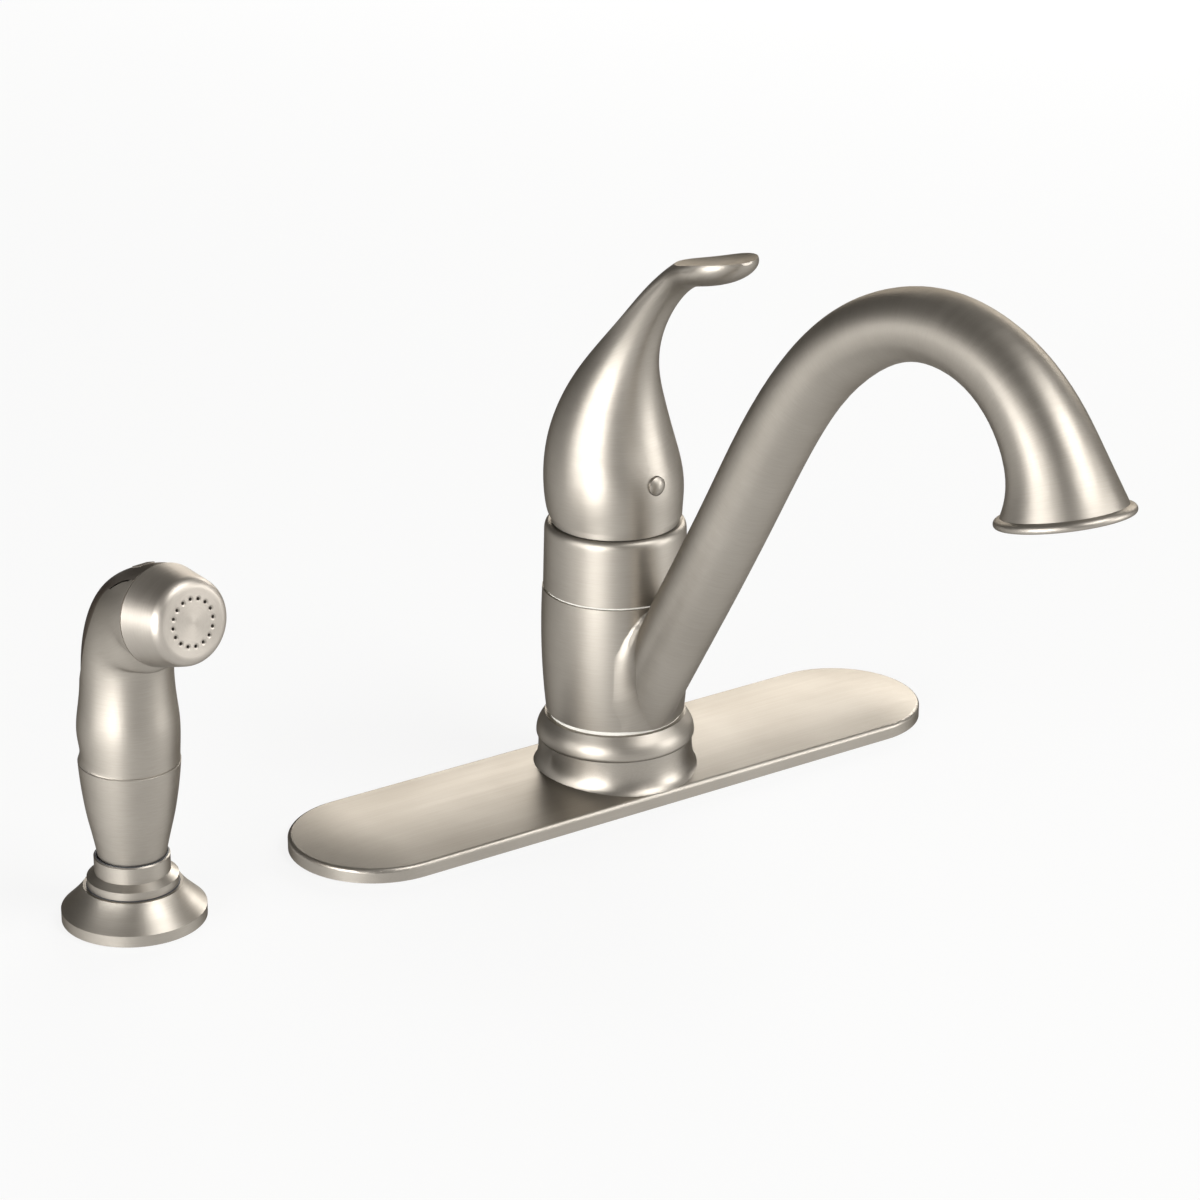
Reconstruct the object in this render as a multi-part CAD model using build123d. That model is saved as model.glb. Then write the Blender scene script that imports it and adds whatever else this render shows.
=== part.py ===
from build123d import *
import math
import os

# Side spray kitchen faucet. Millimetres, +Z up. The origin is where the faucet's upright axis
# meets the top of the sink deck, +X runs along the deck plate and the spout points to -Y.

# ---------------------------------------------------------------- fits and gaps
RUNNING_FIT = 0.08        # radial gap of a shaft that turns or slides in its bore
ASSEMBLY_FIT = 0.10       # radial gap of a piece that is put in and stays
MOVING_GAP = 0.35         # gap between faces that pass each other
SEAL_SQUEEZE = 0.02       # how far a seal ring stays off the walls that it bears on

# ---------------------------------------------------------------- sink deck and mounting
DECK_THICKNESS = 20.0     # counter that the faucet is clamped to
HOLE_SPACING = 101.6      # standard centres of the sink's holes
SPRAY_HOLE_STEPS = 2      # the spray stands two holes to the left

PLATE_LENGTH = 273.0
PLATE_WIDTH = 64.0
PLATE_EDGE = 5.1          # height of the plate's upright edge
PLATE_CROWN = 2.1         # how much higher the middle line is than the edge
PLATE_EDGE_ROUND = 1.5
PLATE_WALL = 2.6
COLLAR_TOP = 17.9         # raised collar in the middle of the plate
COLLAR_RADIUS = 28.6
COLLAR_FOOT_RADIUS = 31.6
COLLAR_FOOT_RISE = 0.3    # the collar's foot starts this far above the plate's edge
COLLAR_LEDGE = 6.0        # ledge inside the collar that carries the valve body

SHANK_RADIUS = 16.5
SHANK_LENGTH = 62.0
MOUNT_GASKET_RADIUS = 29.0
MOUNT_GASKET_HEIGHT = 3.0
MOUNT_WASHER_RADIUS = 27.0
MOUNT_WASHER_HEIGHT = 2.5
MOUNT_NUT_RADIUS = 25.0
MOUNT_NUT_HEIGHT = 10.0

STUD_RADIUS = 3.0
STUD_LENGTH = 42.0
STUD_HEAD_RADIUS = 7.0
STUD_HEAD_HEIGHT = 1.5
STUD_NUT_RADIUS = 9.5
STUD_NUT_FLANGE_RADIUS = 13.0
STUD_NUT_FLANGE_HEIGHT = 2.0
STUD_NUT_HEIGHT = 9.0

# ---------------------------------------------------------------- valve body and its core
FLANGE_RADIUS = 24.0
POST_RADIUS = 20.0
BASE_RING_TOP = 27.0
BASE_RING_RADIUS = 29.3
BASE_RING_TOP_RADIUS = 26.1
BASE_RING_SWELL = 1.6     # height of its widest line above its foot
BASE_RING_INSET = 0.2     # its foot stands this far inside the collar
BASE_RING_DRAW = 1.1      # how far the shoulder has drawn in halfway up
BASE_RING_RISE = 0.6      # and how far above halfway that is
GLIDE_RING_RADIUS = 24.4
LOWER_GLIDE_HEIGHT = 1.8
UPPER_GLIDE_HEIGHT = 0.8
HUB_TOP = 77.0
HUB_TOP_RADIUS = 26.8
HUB_MIDDLE = 58.0
HUB_MIDDLE_RADIUS = 27.3
HUB_LOW = 40.0
HUB_LOW_RADIUS = 26.6
HUB_BOTTOM_RADIUS = 25.6
SEAL_WIRE = 1.2           # half thickness of the hub's seal rings
LOWER_SEAL_HEIGHT = 40.0
UPPER_SEAL_HEIGHT = 71.0
WATER_GROOVE_LOW = 50.0
WATER_GROOVE_TOP = 64.0
WATER_GROOVE_DEPTH = 2.0
WATER_PORT_RADIUS = 4.5

POST_TOP = 88.0           # above it the body carries the collar's thread
THREAD_RADIUS = 18.6
BODY_TOP = 97.0
COLLAR_RING_BOTTOM_RADIUS = 26.5
COLLAR_RING_TOP_RADIUS = 26.0
COLLAR_RING_TOP = 102.4
COLLAR_RING_SHOULDER = 98.5
COLLAR_RING_LIP_RADIUS = 24.4

CARTRIDGE_FLOOR = 44.0
CARTRIDGE_RADIUS = 13.9
CARTRIDGE_BORE = 9.0
CARTRIDGE_FLOOR_WALL = 2.0
CARTRIDGE_BORE_TOP = 84.0
CARTRIDGE_FLANGE_LOW = 91.0
CARTRIDGE_FLANGE_HEIGHT = 2.0
CARTRIDGE_FLANGE_RADIUS = 15.5
CARTRIDGE_SEAL_WIRE = 1.0
CARTRIDGE_SEAL_LOW = 76.0
CARTRIDGE_SEAL_HIGH = 87.0
CLIP_HEIGHT = 1.0
CLIP_BORE = 8.5
CLIP_OPENING = 12.0
CORE_NUT_BORE = 7.0

SUPPLY_OFFSET = 10.4      # hot and cold lie this far to each side of the axis
SUPPLY_BORE = 3.3
SUPPLY_SLOT = 7.0
OUTLET_BORE = 3.3
STUB_RADIUS = 4.6
STUB_BORE = 2.4
STUB_SPIGOT = 10.0
SUPPLY_STUB_LENGTH = 24.0
SPRAY_STUB_LENGTH = 34.0

DIVERTER_RADIUS = 6.6
DIVERTER_FLOOR = 27.0
DIVERTER_SEAT_HEIGHT = 4.0
DIVERTER_STEM_RADIUS = 2.6
DIVERTER_DISC_RADIUS = 5.8
DIVERTER_DISC_HEIGHT = 2.5
DIVERTER_STEM_LENGTH = 6.0
SPRING_WALL = 0.8
DIVERTER_SPRING_RADIUS = 5.2

# ---------------------------------------------------------------- spout
LEG_START_HEIGHT = 8.35   # where the leg's centre line would meet the faucet's axis
LEG_ANGLE = 58.1          # rise of the straight leg above the level
LEG_LENGTH = 186.0
REACH_ARC_RADIUS = 139.6
REACH_ARC_TURN = 27.7
CROWN_ARC_RADIUS = 75.0
CROWN_ARC_TURN = 42.8
DROP_ARC_RADIUS = 55.2
DROP_ARC_TURN = 64.0
SPOUT_WALL = 3.6
LIP_HEIGHT = 3.2
LIP_RADIUS = 22.6
LIP_ROUND = 1.4           # the bead draws in by this at its front
LIP_BORE = 18.6
OUTLET_RADIUS = 11.6
OUTLET_DEPTH = 14.0
AERATOR_RECESS = 1.5
AERATOR_WALL = 1.6
AERATOR_GASKET_HEIGHT = 1.6
AERATOR_SCREEN_HEIGHT = 1.2
AERATOR_SCREEN_HOLE = 1.0
AERATOR_SCREEN_RINGS = 3
WATERWAY_END = 352.0      # run along the centre line where the bell's bore takes over
# outer radius of the spout at runs along its centre line, from inside the hub to the bell
SPOUT_STATIONS = (
    (26.0, 11.9), (60.0, 12.4), (100.0, 12.9), (145.0, 12.9), (186.0, 12.85), (220.0, 12.6),
    (253.0, 12.35), (286.0, 12.3), (309.0, 12.7), (330.0, 13.6), (345.0, 14.7), (357.0, 16.2),
    (365.0, 18.2),
)
BELL_EDGE_RADIUS = 20.4   # at the very end, where the lip begins

# ---------------------------------------------------------------- handle
PIVOT_RING_RADIUS = 20.5
PIVOT_RING_TOP = 103.0
PIVOT_RING_BORE = 13.6
HANDLE_TURN = 3.2         # the handle stands turned to the right by this
HINGE_BACK = 18.0         # hinge pin's distance behind the axis
HINGE_RISE = 5.0          # hinge pin's height above the pivot ring
HINGE_PIN_RADIUS = 1.1
HINGE_PIN_LENGTH = 14.6
EAR_RADIUS = 2.2
EAR_INNER = 4.9
EAR_OUTER = 7.3
EAR_FOOT_BACK = 0.8       # the ear's foot reaches this far behind the pin
EAR_ROOT = 1.0            # and this deep into the ring
RIM_RADIUS = 23.4         # rim that closes most of the gap below the handle
RIM_BACK = 15.0           # behind this the rim is left out, as room for the lifted handle
LUG_RADIUS = 2.1
LUG_HALF_WIDTH = 4.6

HANDLE_BOTTOM = 105.2
SKIRT_BORE = 22.0
SKIRT_ROOF = 114.5
ADAPTER_PLATE_RADIUS = 20.8
ADAPTER_PLATE_HEIGHT = 3.0
ADAPTER_NECK_RADIUS = 8.0
ADAPTER_NECK_RISE = 13.5  # above the skirt's roof
ADAPTER_BOSS_RADIUS = 10.5
ADAPTER_BOSS_GAP = 0.9    # above the pivot ring
BALL_SLOT_RADIUS = 4.3
BALL_SLOT_FRONT = 6.0
BALL_SLOT_BACK = 5.0
STEM_SLOT_HALF_WIDTH = 3.3
BUTTON_RISE = 7.5         # button's middle above the skirt's roof
BUTTON_RADIUS = 3.5
BUTTON_FACE = 24.2        # distance of the button's rim in front of the axis
BUTTON_DOME = 1.3
BUTTON_DEPTH = 3.0
SET_SCREW_RADIUS = 2.5
SET_SCREW_LENGTH = 11.0
SET_SCREW_KEY = 1.3
# the handle's spine: y, z, half depth across the spine, half width along X
HANDLE_STATIONS = (
    (0.0, 105.2, 24.3, 24.3), (0.6, 111.0, 25.2, 25.2), (1.4, 119.2, 25.4, 25.4),
    (2.4, 133.9, 23.0, 23.0), (-0.1, 148.7, 18.3, 18.4), (-5.1, 162.4, 13.0, 13.1),
    (-12.9, 176.5, 8.6, 8.9), (-25.3, 192.9, 5.9, 7.0), (-39.0, 204.6, 5.2, 8.2),
    (-47.0, 208.6, 5.9, 11.0), (-56.0, 212.0, 6.7, 13.0), (-63.5, 214.4, 6.1, 11.6),
    (-69.0, 216.2, 4.0, 7.5), (-71.8, 217.2, 1.2, 2.6),
)
DISH_BACK = -56.0         # lowest point of the paddle's dished top
DISH_HEIGHT = 211.2
DISH_SLOPE = 13.0
DISH_LONG_RADIUS = 73.0
DISH_CROSS_RADIUS = 27.0

STEM_RADIUS = 3.0
STEM_BALL_RADIUS = 3.8
STEM_PISTON_LOW = 52.0
STEM_PISTON_TOP = 76.0
STEM_GROOVE_DEPTH = 2.2
STEM_GROOVE_HEIGHT = 10.0

# ---------------------------------------------------------------- spray holder
SPRAY_FLANGE_RADIUS = 25.2
SPRAY_FLANGE_EDGE = 4.0
SPRAY_FLANGE_TOP = 12.6
SPRAY_FLANGE_TOP_RADIUS = 17.3
SPRAY_FLANGE_BORE = 14.2
SLEEVE_RING_RADIUS = 15.9
SLEEVE_RING_HIGH = 15.8
SLEEVE_RADIUS = 13.2
SLEEVE_BEVEL = 0.8        # the ring's bevel is this much steeper than half a right angle
SLEEVE_CHAMFER = 0.5
SLEEVE_TOP = 24.0
SLEEVE_TAIL_RADIUS = 12.0
SLEEVE_TAIL_LENGTH = 48.0
SLEEVE_BORE = 9.6
SLEEVE_SEAT_HEIGHT = 13.6
SEAT_GAP = 0.35
HOLDER_GASKET_RADIUS = 22.0
HOLDER_GASKET_HEIGHT = 2.0
HOLDER_NUT_RADIUS = 19.0
HOLDER_NUT_HEIGHT = 9.0

# ---------------------------------------------------------------- spray wand, in its own frame
# The wand's frame has its origin on the deck under the wand and the wand's axis upright.
WAND_TURN = 6.8           # the wand stands turned by this in its holder
WAND_LEAN = 1.75          # and leans forward by this
WAND_LEAN_HEIGHT = 19.0
WAND_FOOT = 14.0
WAND_FOOT_RADIUS = 9.9
WAND_MOUTH_RADIUS = 11.85  # at the sleeve's top
# radius of the grip at heights between the holder's mouth and the joint
GRIP_STATIONS = ((31.6, 13.4), (38.4, 14.9), (47.5, 16.4))
WAND_JOINT = 59.8
WAND_JOINT_RADIUS = 17.6
JOINT_CHAMFER = 0.4
WAND_BORE = 5.6
WAND_SEAL_RADIUS = 10.0
WAND_SEAL_HEIGHT = 1.0
CONNECTOR_RADIUS = 5.5
CONNECTOR_NIPPLE_RADIUS = 4.8
CONNECTOR_BORE = 3.2
CONNECTOR_LOW = -8.0
CONNECTOR_TOP = 30.0
ELBOW_START = 94.3        # height where the neck starts to bend forward
ELBOW_RADIUS = 26.5
HEAD_TILT = 9.15          # the head's axis rises by this towards the face
FACE_DISTANCE = 16.6      # from the end of the bend to the face
HEAD_TRIM = 1.0           # the head's form runs on by this and is cut off square
CAP_SEAM_RADIUS = 17.6
CAP_SHOULDER_RADIUS = 16.9
CAP_SHOULDER = 12.5       # distance of the shoulder behind the face
CAP_FRONT_RADIUS = 15.7
CAP_FRONT = 6.0
CAP_EDGE_RADIUS = 14.4    # round the face, before its edge is rounded
CAP_ROUND = 3.6
SEAM_CHAMFER = 0.45       # round the cap's back edge
CAP_WALL = 3.0
SPIGOT_RADIUS = 12.3
SPIGOT_ROOT = 1.5         # how deep the spigot is rooted in the head
SPRAY_HOLE_COUNT = 16
SPRAY_HOLE_CIRCLE = 8.07
SPRAY_HOLE_RADIUS = 0.6
SPRAY_DISH_RADIUS = 1.15  # each hole opens into a shallow dish in the face
SPRAY_DISH_DEPTH = 0.4
NOZZLE_DISC_HEIGHT = 2.0
NOZZLE_GASKET_HEIGHT = 1.6
NOZZLE_GASKET_BORE = 9.0
HEAD_BORE = 5.0
HEAD_BORE_DEPTH = 36.0    # from the face back
NECK_BORE_TOP = 106.0     # the neck's waterway ends here, behind the valve
VALVE_PASSAGE = 2.6       # radius of the passage from the valve up to the head
VALVE_PASSAGE_FRONT = 11.0
# radius of the wand's upper body at heights below the bend, and at shares of the bend
NECK_STATIONS = ((59.8, 17.6), (70.0, 17.6), (80.5, 16.85), (88.0, 16.1))
ELBOW_STATIONS = ((0.0, 15.9), (0.3, 16.1), (0.65, 16.6), (1.0, CAP_SEAM_RADIUS))

TRIGGER_SIDE_INSET = 1.9  # the trigger is this much narrower than the head on each side
TRIGGER_PROUD = 1.7       # and stands this much proud of it at the back
TRIGGER_WALL = 2.0
TRIGGER_STROKE = 2.0      # how far its lower end swings in
TRIGGER_TURN = 2.7        # how far it turns about its pin
TRIGGER_PIN_RADIUS = 1.0
TRIGGER_PIN_LENGTH = 15.0
TRIGGER_PIN_OUT = 9.5     # pin's distance above the head's axis
TRIGGER_PIN_SHARE = 0.86  # where along the bend the pin lies
TRIGGER_LUG_RADIUS = 2.3
TRIGGER_LUG_HALF_WIDTH = 3.0
TRIGGER_LUG_SWING = 0.8   # room for the lug in its slot along the head
TRIGGER_LUG_REACH = 7.6   # from the pin up into the trigger's shell
# side view of the seam between trigger and body: distance forward and height
TRIGGER_SEAM = (
    (19.6, 134.5), (10.5, 131.0), (5.5, 126.5), (3.0, 119.6), (-1.4, 107.2), (-5.5, 95.5), (-12.0, 86.5),
)

PLUNGER_HEIGHT = 101.0
PLUNGER_RADIUS = 2.2
PLUNGER_BACK = 14.0       # the plunger's tip, just inside the trigger
PLUNGER_DISC_RADIUS = 3.6
PLUNGER_DISC_LENGTH = 2.0
VALVE_SEAT_FRONT = 8.0    # the seat's front face lies this far before the wand's axis
VALVE_SEAT_LENGTH = 2.0
VALVE_SEAT_BORE = 2.9
PLUNGER_CHAMBER_RADIUS = 4.4
PLUNGER_CHAMBER_FRONT = 14.0
PLUNGER_SPRING_RADIUS = 3.4
PLUNGER_TRAVEL = 1.5      # room in front of the spring


# ---------------------------------------------------------------- shape helpers
def bar(radius, low, high):
    """Upright cylinder on the axis between two heights."""
    return Pos(0, 0, (low + high) / 2) * Cylinder(radius, high - low)


def tube(outer, inner, low, high):
    """Upright ring between two heights."""
    return bar(outer, low, high) - bar(inner, low - 1, high + 1)


def turned(*edges):
    """Solid of revolution about the upright axis from an outline of (radius, height)."""
    return revolve(Plane.XZ * make_face(edges), Axis.Z)


def steps(*corners):
    """Straight edges through (radius, height) corners."""
    return Polyline(*corners)


def hexagon(across, low, high):
    """Upright hexagonal bar with the given corner radius."""
    return Pos(0, 0, low) * extrude(RegularPolygon(across, 6), high - low)


def seal_ring(outer, wire, height):
    """Round seal ring that reaches out to the given radius."""
    return Pos(0, 0, height) * Torus(outer - wire - SEAL_SQUEEZE, wire - SEAL_SQUEEZE)


def seal_groove(outer, wire, height):
    """What a seal ring's groove takes out of a post."""
    half = wire + ASSEMBLY_FIT
    return tube(outer + 1, outer - 2 * wire - SEAL_SQUEEZE, height - half, height + half)


PARTS = {}


def keep(name, shape):
    """Store one piece under its node's name."""
    PARTS[name] = shape


# ---------------------------------------------------------------- deck plate and mounting
def plate_outline(inset, height):
    """Long rounded block with the plate's plan, drawn in by an inset."""
    return extrude(SlotOverall(PLATE_LENGTH - 2 * inset, PLATE_WIDTH - 2 * inset), height)


def crowned_plate():
    """Plate whose top rises in an arc from its edge to its middle line."""
    half = PLATE_WIDTH / 2
    top = PLATE_EDGE + PLATE_CROWN
    side = [Line((0, 0), (half, 0)), Line((half, 0), (half, PLATE_EDGE)), Line((0, top), (0, 0))]
    crown = TangentArc((0, top), (half, PLATE_EDGE), tangent=(1, 0))
    corner = make_face([*side, crown]).vertices().sort_by_distance((half, PLATE_EDGE))[0]
    half_face = fillet(corner, PLATE_EDGE_ROUND)
    end = revolve(Plane.XZ * half_face, Axis.Z)
    run = PLATE_LENGTH - PLATE_WIDTH
    front = Plane.YZ * half_face
    back = mirror(front, Plane.XZ)
    middle = Pos(-run / 2, 0, 0) * extrude(front + back, run, dir=(1, 0, 0))
    return middle + Pos(-run / 2, 0, 0) * end + Pos(run / 2, 0, 0) * end


def make_deck_plate():
    foot = (COLLAR_FOOT_RADIUS, PLATE_EDGE + COLLAR_FOOT_RISE)
    flare = Spline(foot, (COLLAR_RADIUS, COLLAR_TOP), tangents=((-0.8, 0.6), (0.05, 1)))
    brim = (COLLAR_RADIUS, COLLAR_TOP)
    below = steps(brim, (0, COLLAR_TOP), (0, PLATE_WALL), (COLLAR_FOOT_RADIUS, PLATE_WALL), foot)
    plate = crowned_plate() + turned(flare, below)
    plate -= plate_outline(PLATE_WALL, PLATE_EDGE - PLATE_WALL)
    plate -= bar(FLANGE_RADIUS + ASSEMBLY_FIT, COLLAR_LEDGE, COLLAR_TOP + 1)
    plate -= bar(SHANK_RADIUS + ASSEMBLY_FIT, -1, COLLAR_TOP)
    keep("deck_plate", plate)


def stud_places():
    return (("left", -HOLE_SPACING), ("right", HOLE_SPACING))


def make_under_plate():
    height = PLATE_EDGE - PLATE_WALL
    plate = plate_outline(PLATE_WALL + ASSEMBLY_FIT, height)
    plate -= bar(SHANK_RADIUS + ASSEMBLY_FIT, -1, height + 1)
    for side, x in stud_places():
        plate -= Pos(x, 0, 0) * bar(STUD_RADIUS + ASSEMBLY_FIT, -1, height + 1)
        plate -= Pos(x, 0, 0) * bar(STUD_HEAD_RADIUS + ASSEMBLY_FIT, height - STUD_HEAD_HEIGHT, height + 1)
    keep("under_plate", plate)


def make_plate_studs():
    head_top = PLATE_EDGE - PLATE_WALL
    head_low = head_top - STUD_HEAD_HEIGHT
    stud = bar(STUD_RADIUS, -STUD_LENGTH, head_low) + bar(STUD_HEAD_RADIUS, head_low, head_top)
    flange_low = -DECK_THICKNESS - STUD_NUT_FLANGE_HEIGHT
    nut = hexagon(STUD_NUT_RADIUS, -DECK_THICKNESS - STUD_NUT_HEIGHT, flange_low)
    nut += bar(STUD_NUT_FLANGE_RADIUS, flange_low, -DECK_THICKNESS)
    nut -= bar(STUD_RADIUS + ASSEMBLY_FIT, -DECK_THICKNESS - STUD_NUT_HEIGHT - 1, 0)
    for side, x in stud_places():
        keep("plate_stud_" + side, Pos(x, 0, 0) * stud)
        keep("plate_nut_" + side, Pos(x, 0, 0) * nut)


def make_shank_hardware():
    bore = SHANK_RADIUS + ASSEMBLY_FIT
    gasket_low = -DECK_THICKNESS - MOUNT_GASKET_HEIGHT
    washer_low = gasket_low - MOUNT_WASHER_HEIGHT
    nut_low = washer_low - MOUNT_NUT_HEIGHT
    keep("mounting_gasket", tube(MOUNT_GASKET_RADIUS, bore, gasket_low, -DECK_THICKNESS))
    keep("mounting_washer", tube(MOUNT_WASHER_RADIUS, bore, washer_low, gasket_low))
    nut = hexagon(MOUNT_NUT_RADIUS, nut_low, washer_low) - bar(bore, nut_low - 1, washer_low + 1)
    keep("mounting_nut", nut)


def supply_places():
    hot = ("hot", -SUPPLY_OFFSET, SUPPLY_STUB_LENGTH, SUPPLY_BORE)
    cold = ("cold", SUPPLY_OFFSET, SUPPLY_STUB_LENGTH, SUPPLY_BORE)
    return (hot, cold, ("spray", 0.0, SPRAY_STUB_LENGTH, OUTLET_BORE))


def make_stubs():
    """Threaded pipe stubs below the shank: two inlets and the outlet to the spray."""
    for name, x, length, bore in supply_places():
        spigot = bar(bore - ASSEMBLY_FIT, -SHANK_LENGTH, -SHANK_LENGTH + STUB_SPIGOT)
        stub = bar(STUB_RADIUS, -SHANK_LENGTH - length, -SHANK_LENGTH) + spigot
        stub -= bar(STUB_BORE, -SHANK_LENGTH - length - 1, -SHANK_LENGTH + STUB_SPIGOT + 1)
        keep(name + ("_outlet_stub" if name == "spray" else "_inlet_stub"), Pos(x, 0, 0) * stub)


# ---------------------------------------------------------------- valve body and its core
def hub_bottom():
    return BASE_RING_TOP + LOWER_GLIDE_HEIGHT


def port(radius, height, reach):
    """Level hole from the axis towards the spout."""
    return Pos(0, -reach / 2, height) * Rot(X=90) * Cylinder(radius, reach)


def make_valve_body():
    body = bar(SHANK_RADIUS, -SHANK_LENGTH, COLLAR_LEDGE) + bar(FLANGE_RADIUS, COLLAR_LEDGE, COLLAR_TOP)
    body += bar(POST_RADIUS, COLLAR_TOP, POST_TOP) + bar(THREAD_RADIUS, POST_TOP, BODY_TOP)
    for height in (LOWER_SEAL_HEIGHT, UPPER_SEAL_HEIGHT):
        body -= seal_groove(POST_RADIUS, SEAL_WIRE, height)
    body -= tube(POST_RADIUS + 1, POST_RADIUS - WATER_GROOVE_DEPTH, WATER_GROOVE_LOW, WATER_GROOVE_TOP)
    body -= bar(CARTRIDGE_RADIUS + ASSEMBLY_FIT, CARTRIDGE_FLOOR, BODY_TOP)
    body -= bar(CARTRIDGE_FLANGE_RADIUS + ASSEMBLY_FIT, CARTRIDGE_FLANGE_LOW, BODY_TOP + 1)
    body -= bar(DIVERTER_RADIUS, DIVERTER_FLOOR, CARTRIDGE_FLOOR + 1)
    body -= port(WATER_PORT_RADIUS, (WATER_GROOVE_LOW + WATER_GROOVE_TOP) / 2, POST_RADIUS)
    body -= bar(OUTLET_BORE, -SHANK_LENGTH - 1, DIVERTER_FLOOR + 1)
    for side in (-1, 1):
        body -= Pos(side * SUPPLY_OFFSET, 0, 0) * bar(SUPPLY_BORE, -SHANK_LENGTH - 1, CARTRIDGE_FLOOR + 1)
    keep("valve_body", body)


def make_base_ring():
    bore = POST_RADIUS + ASSEMBLY_FIT
    low = COLLAR_TOP
    widest = low + BASE_RING_SWELL
    foot = COLLAR_RADIUS - BASE_RING_INSET
    swell = ThreePointArc((foot, low), (BASE_RING_RADIUS - BASE_RING_INSET, low + BASE_RING_SWELL * 0.44),
                          (BASE_RING_RADIUS, widest))
    waist = (BASE_RING_RADIUS - BASE_RING_DRAW, (widest + BASE_RING_TOP) / 2 + BASE_RING_RISE)
    brim = (BASE_RING_TOP_RADIUS, BASE_RING_TOP)
    shoulder = Spline((BASE_RING_RADIUS, widest), waist, brim, tangents=((0, 1), (-0.55, 0.83)))
    rest = steps(brim, (bore, BASE_RING_TOP), (bore, low), (foot, low))
    keep("base_ring", turned(swell, shoulder, rest))


def make_glide_rings():
    bore = POST_RADIUS + ASSEMBLY_FIT
    keep("lower_glide_ring", tube(GLIDE_RING_RADIUS, bore, BASE_RING_TOP, hub_bottom()))
    keep("upper_glide_ring", tube(HUB_TOP_RADIUS - 0.9, bore, HUB_TOP, HUB_TOP + UPPER_GLIDE_HEIGHT))
    keep("lower_hub_seal", seal_ring(POST_RADIUS, SEAL_WIRE, LOWER_SEAL_HEIGHT))
    keep("upper_hub_seal", seal_ring(POST_RADIUS, SEAL_WIRE, UPPER_SEAL_HEIGHT))


def make_upper_collar():
    low = HUB_TOP + UPPER_GLIDE_HEIGHT
    side = Line((COLLAR_RING_BOTTOM_RADIUS, low), (COLLAR_RING_TOP_RADIUS, COLLAR_RING_SHOULDER))
    lip = (COLLAR_RING_LIP_RADIUS, COLLAR_RING_TOP)
    shoulder = Spline((COLLAR_RING_TOP_RADIUS, COLLAR_RING_SHOULDER), lip, tangents=((0, 1), (-1, 0.35)))
    body_bore = POST_RADIUS + ASSEMBLY_FIT
    thread_bore = THREAD_RADIUS + ASSEMBLY_FIT
    seat_bore = PIVOT_RING_RADIUS + RUNNING_FIT
    seat = steps(lip, (seat_bore, COLLAR_RING_TOP), (seat_bore, BODY_TOP), (thread_bore, BODY_TOP))
    bore = steps((thread_bore, BODY_TOP), (thread_bore, POST_TOP), (body_bore, POST_TOP), (body_bore, low))
    foot = Line((body_bore, low), (COLLAR_RING_BOTTOM_RADIUS, low))
    keep("upper_collar", turned(side, shoulder, seat, bore, foot))


def make_cartridge():
    flange_top = CARTRIDGE_FLANGE_LOW + CARTRIDGE_FLANGE_HEIGHT
    shell = bar(CARTRIDGE_RADIUS, CARTRIDGE_FLOOR, flange_top)
    shell += bar(CARTRIDGE_FLANGE_RADIUS, CARTRIDGE_FLANGE_LOW, flange_top)
    shell -= bar(CARTRIDGE_BORE, CARTRIDGE_FLOOR + CARTRIDGE_FLOOR_WALL, CARTRIDGE_BORE_TOP)
    shell -= bar(STEM_RADIUS + RUNNING_FIT, CARTRIDGE_FLOOR - 1, flange_top + 1)
    shell -= port(WATER_PORT_RADIUS, (WATER_GROOVE_LOW + WATER_GROOVE_TOP) / 2, POST_RADIUS)
    slot_top = CARTRIDGE_FLOOR + SUPPLY_SLOT
    slot_run = CARTRIDGE_RADIUS - CARTRIDGE_BORE + 1
    for side in (-1, 1):
        place = Pos(side * (CARTRIDGE_BORE + slot_run / 2 - 0.5), 0, (CARTRIDGE_FLOOR + slot_top) / 2)
        shell -= place * Box(slot_run + 1, SUPPLY_SLOT, SUPPLY_SLOT)
    for height in (CARTRIDGE_SEAL_LOW, CARTRIDGE_SEAL_HIGH):
        shell -= seal_groove(CARTRIDGE_RADIUS, CARTRIDGE_SEAL_WIRE, height)
    keep("cartridge_shell", shell)
    keep("cartridge_seal_lower", seal_ring(CARTRIDGE_RADIUS, CARTRIDGE_SEAL_WIRE, CARTRIDGE_SEAL_LOW))
    keep("cartridge_seal_upper", seal_ring(CARTRIDGE_RADIUS, CARTRIDGE_SEAL_WIRE, CARTRIDGE_SEAL_HIGH))
    clip_top = flange_top + CLIP_HEIGHT
    clip = tube(CARTRIDGE_FLANGE_RADIUS, CLIP_BORE, flange_top, clip_top)
    mouth = Box(CLIP_OPENING, 2 * CARTRIDGE_FLANGE_RADIUS, 4 * CLIP_HEIGHT)
    clip -= Pos(0, CARTRIDGE_FLANGE_RADIUS, clip_top) * mouth
    keep("cartridge_clip", clip)
    keep("cartridge_nut", tube(CARTRIDGE_FLANGE_RADIUS, CORE_NUT_BORE, clip_top, BODY_TOP))


def make_stem():
    piston = bar(CARTRIDGE_BORE - RUNNING_FIT, STEM_PISTON_LOW, STEM_PISTON_TOP)
    middle = (STEM_PISTON_LOW + STEM_PISTON_TOP) / 2
    groove_radius = CARTRIDGE_BORE - STEM_GROOVE_DEPTH
    groove_half = STEM_GROOVE_HEIGHT / 2
    piston -= tube(CARTRIDGE_BORE + 1, groove_radius, middle - groove_half, middle + groove_half)
    stem = piston + bar(STEM_RADIUS, STEM_PISTON_TOP, hinge_height())
    stem += Pos(0, 0, hinge_height()) * Sphere(STEM_BALL_RADIUS)
    keep("cartridge_stem", stem)


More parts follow.
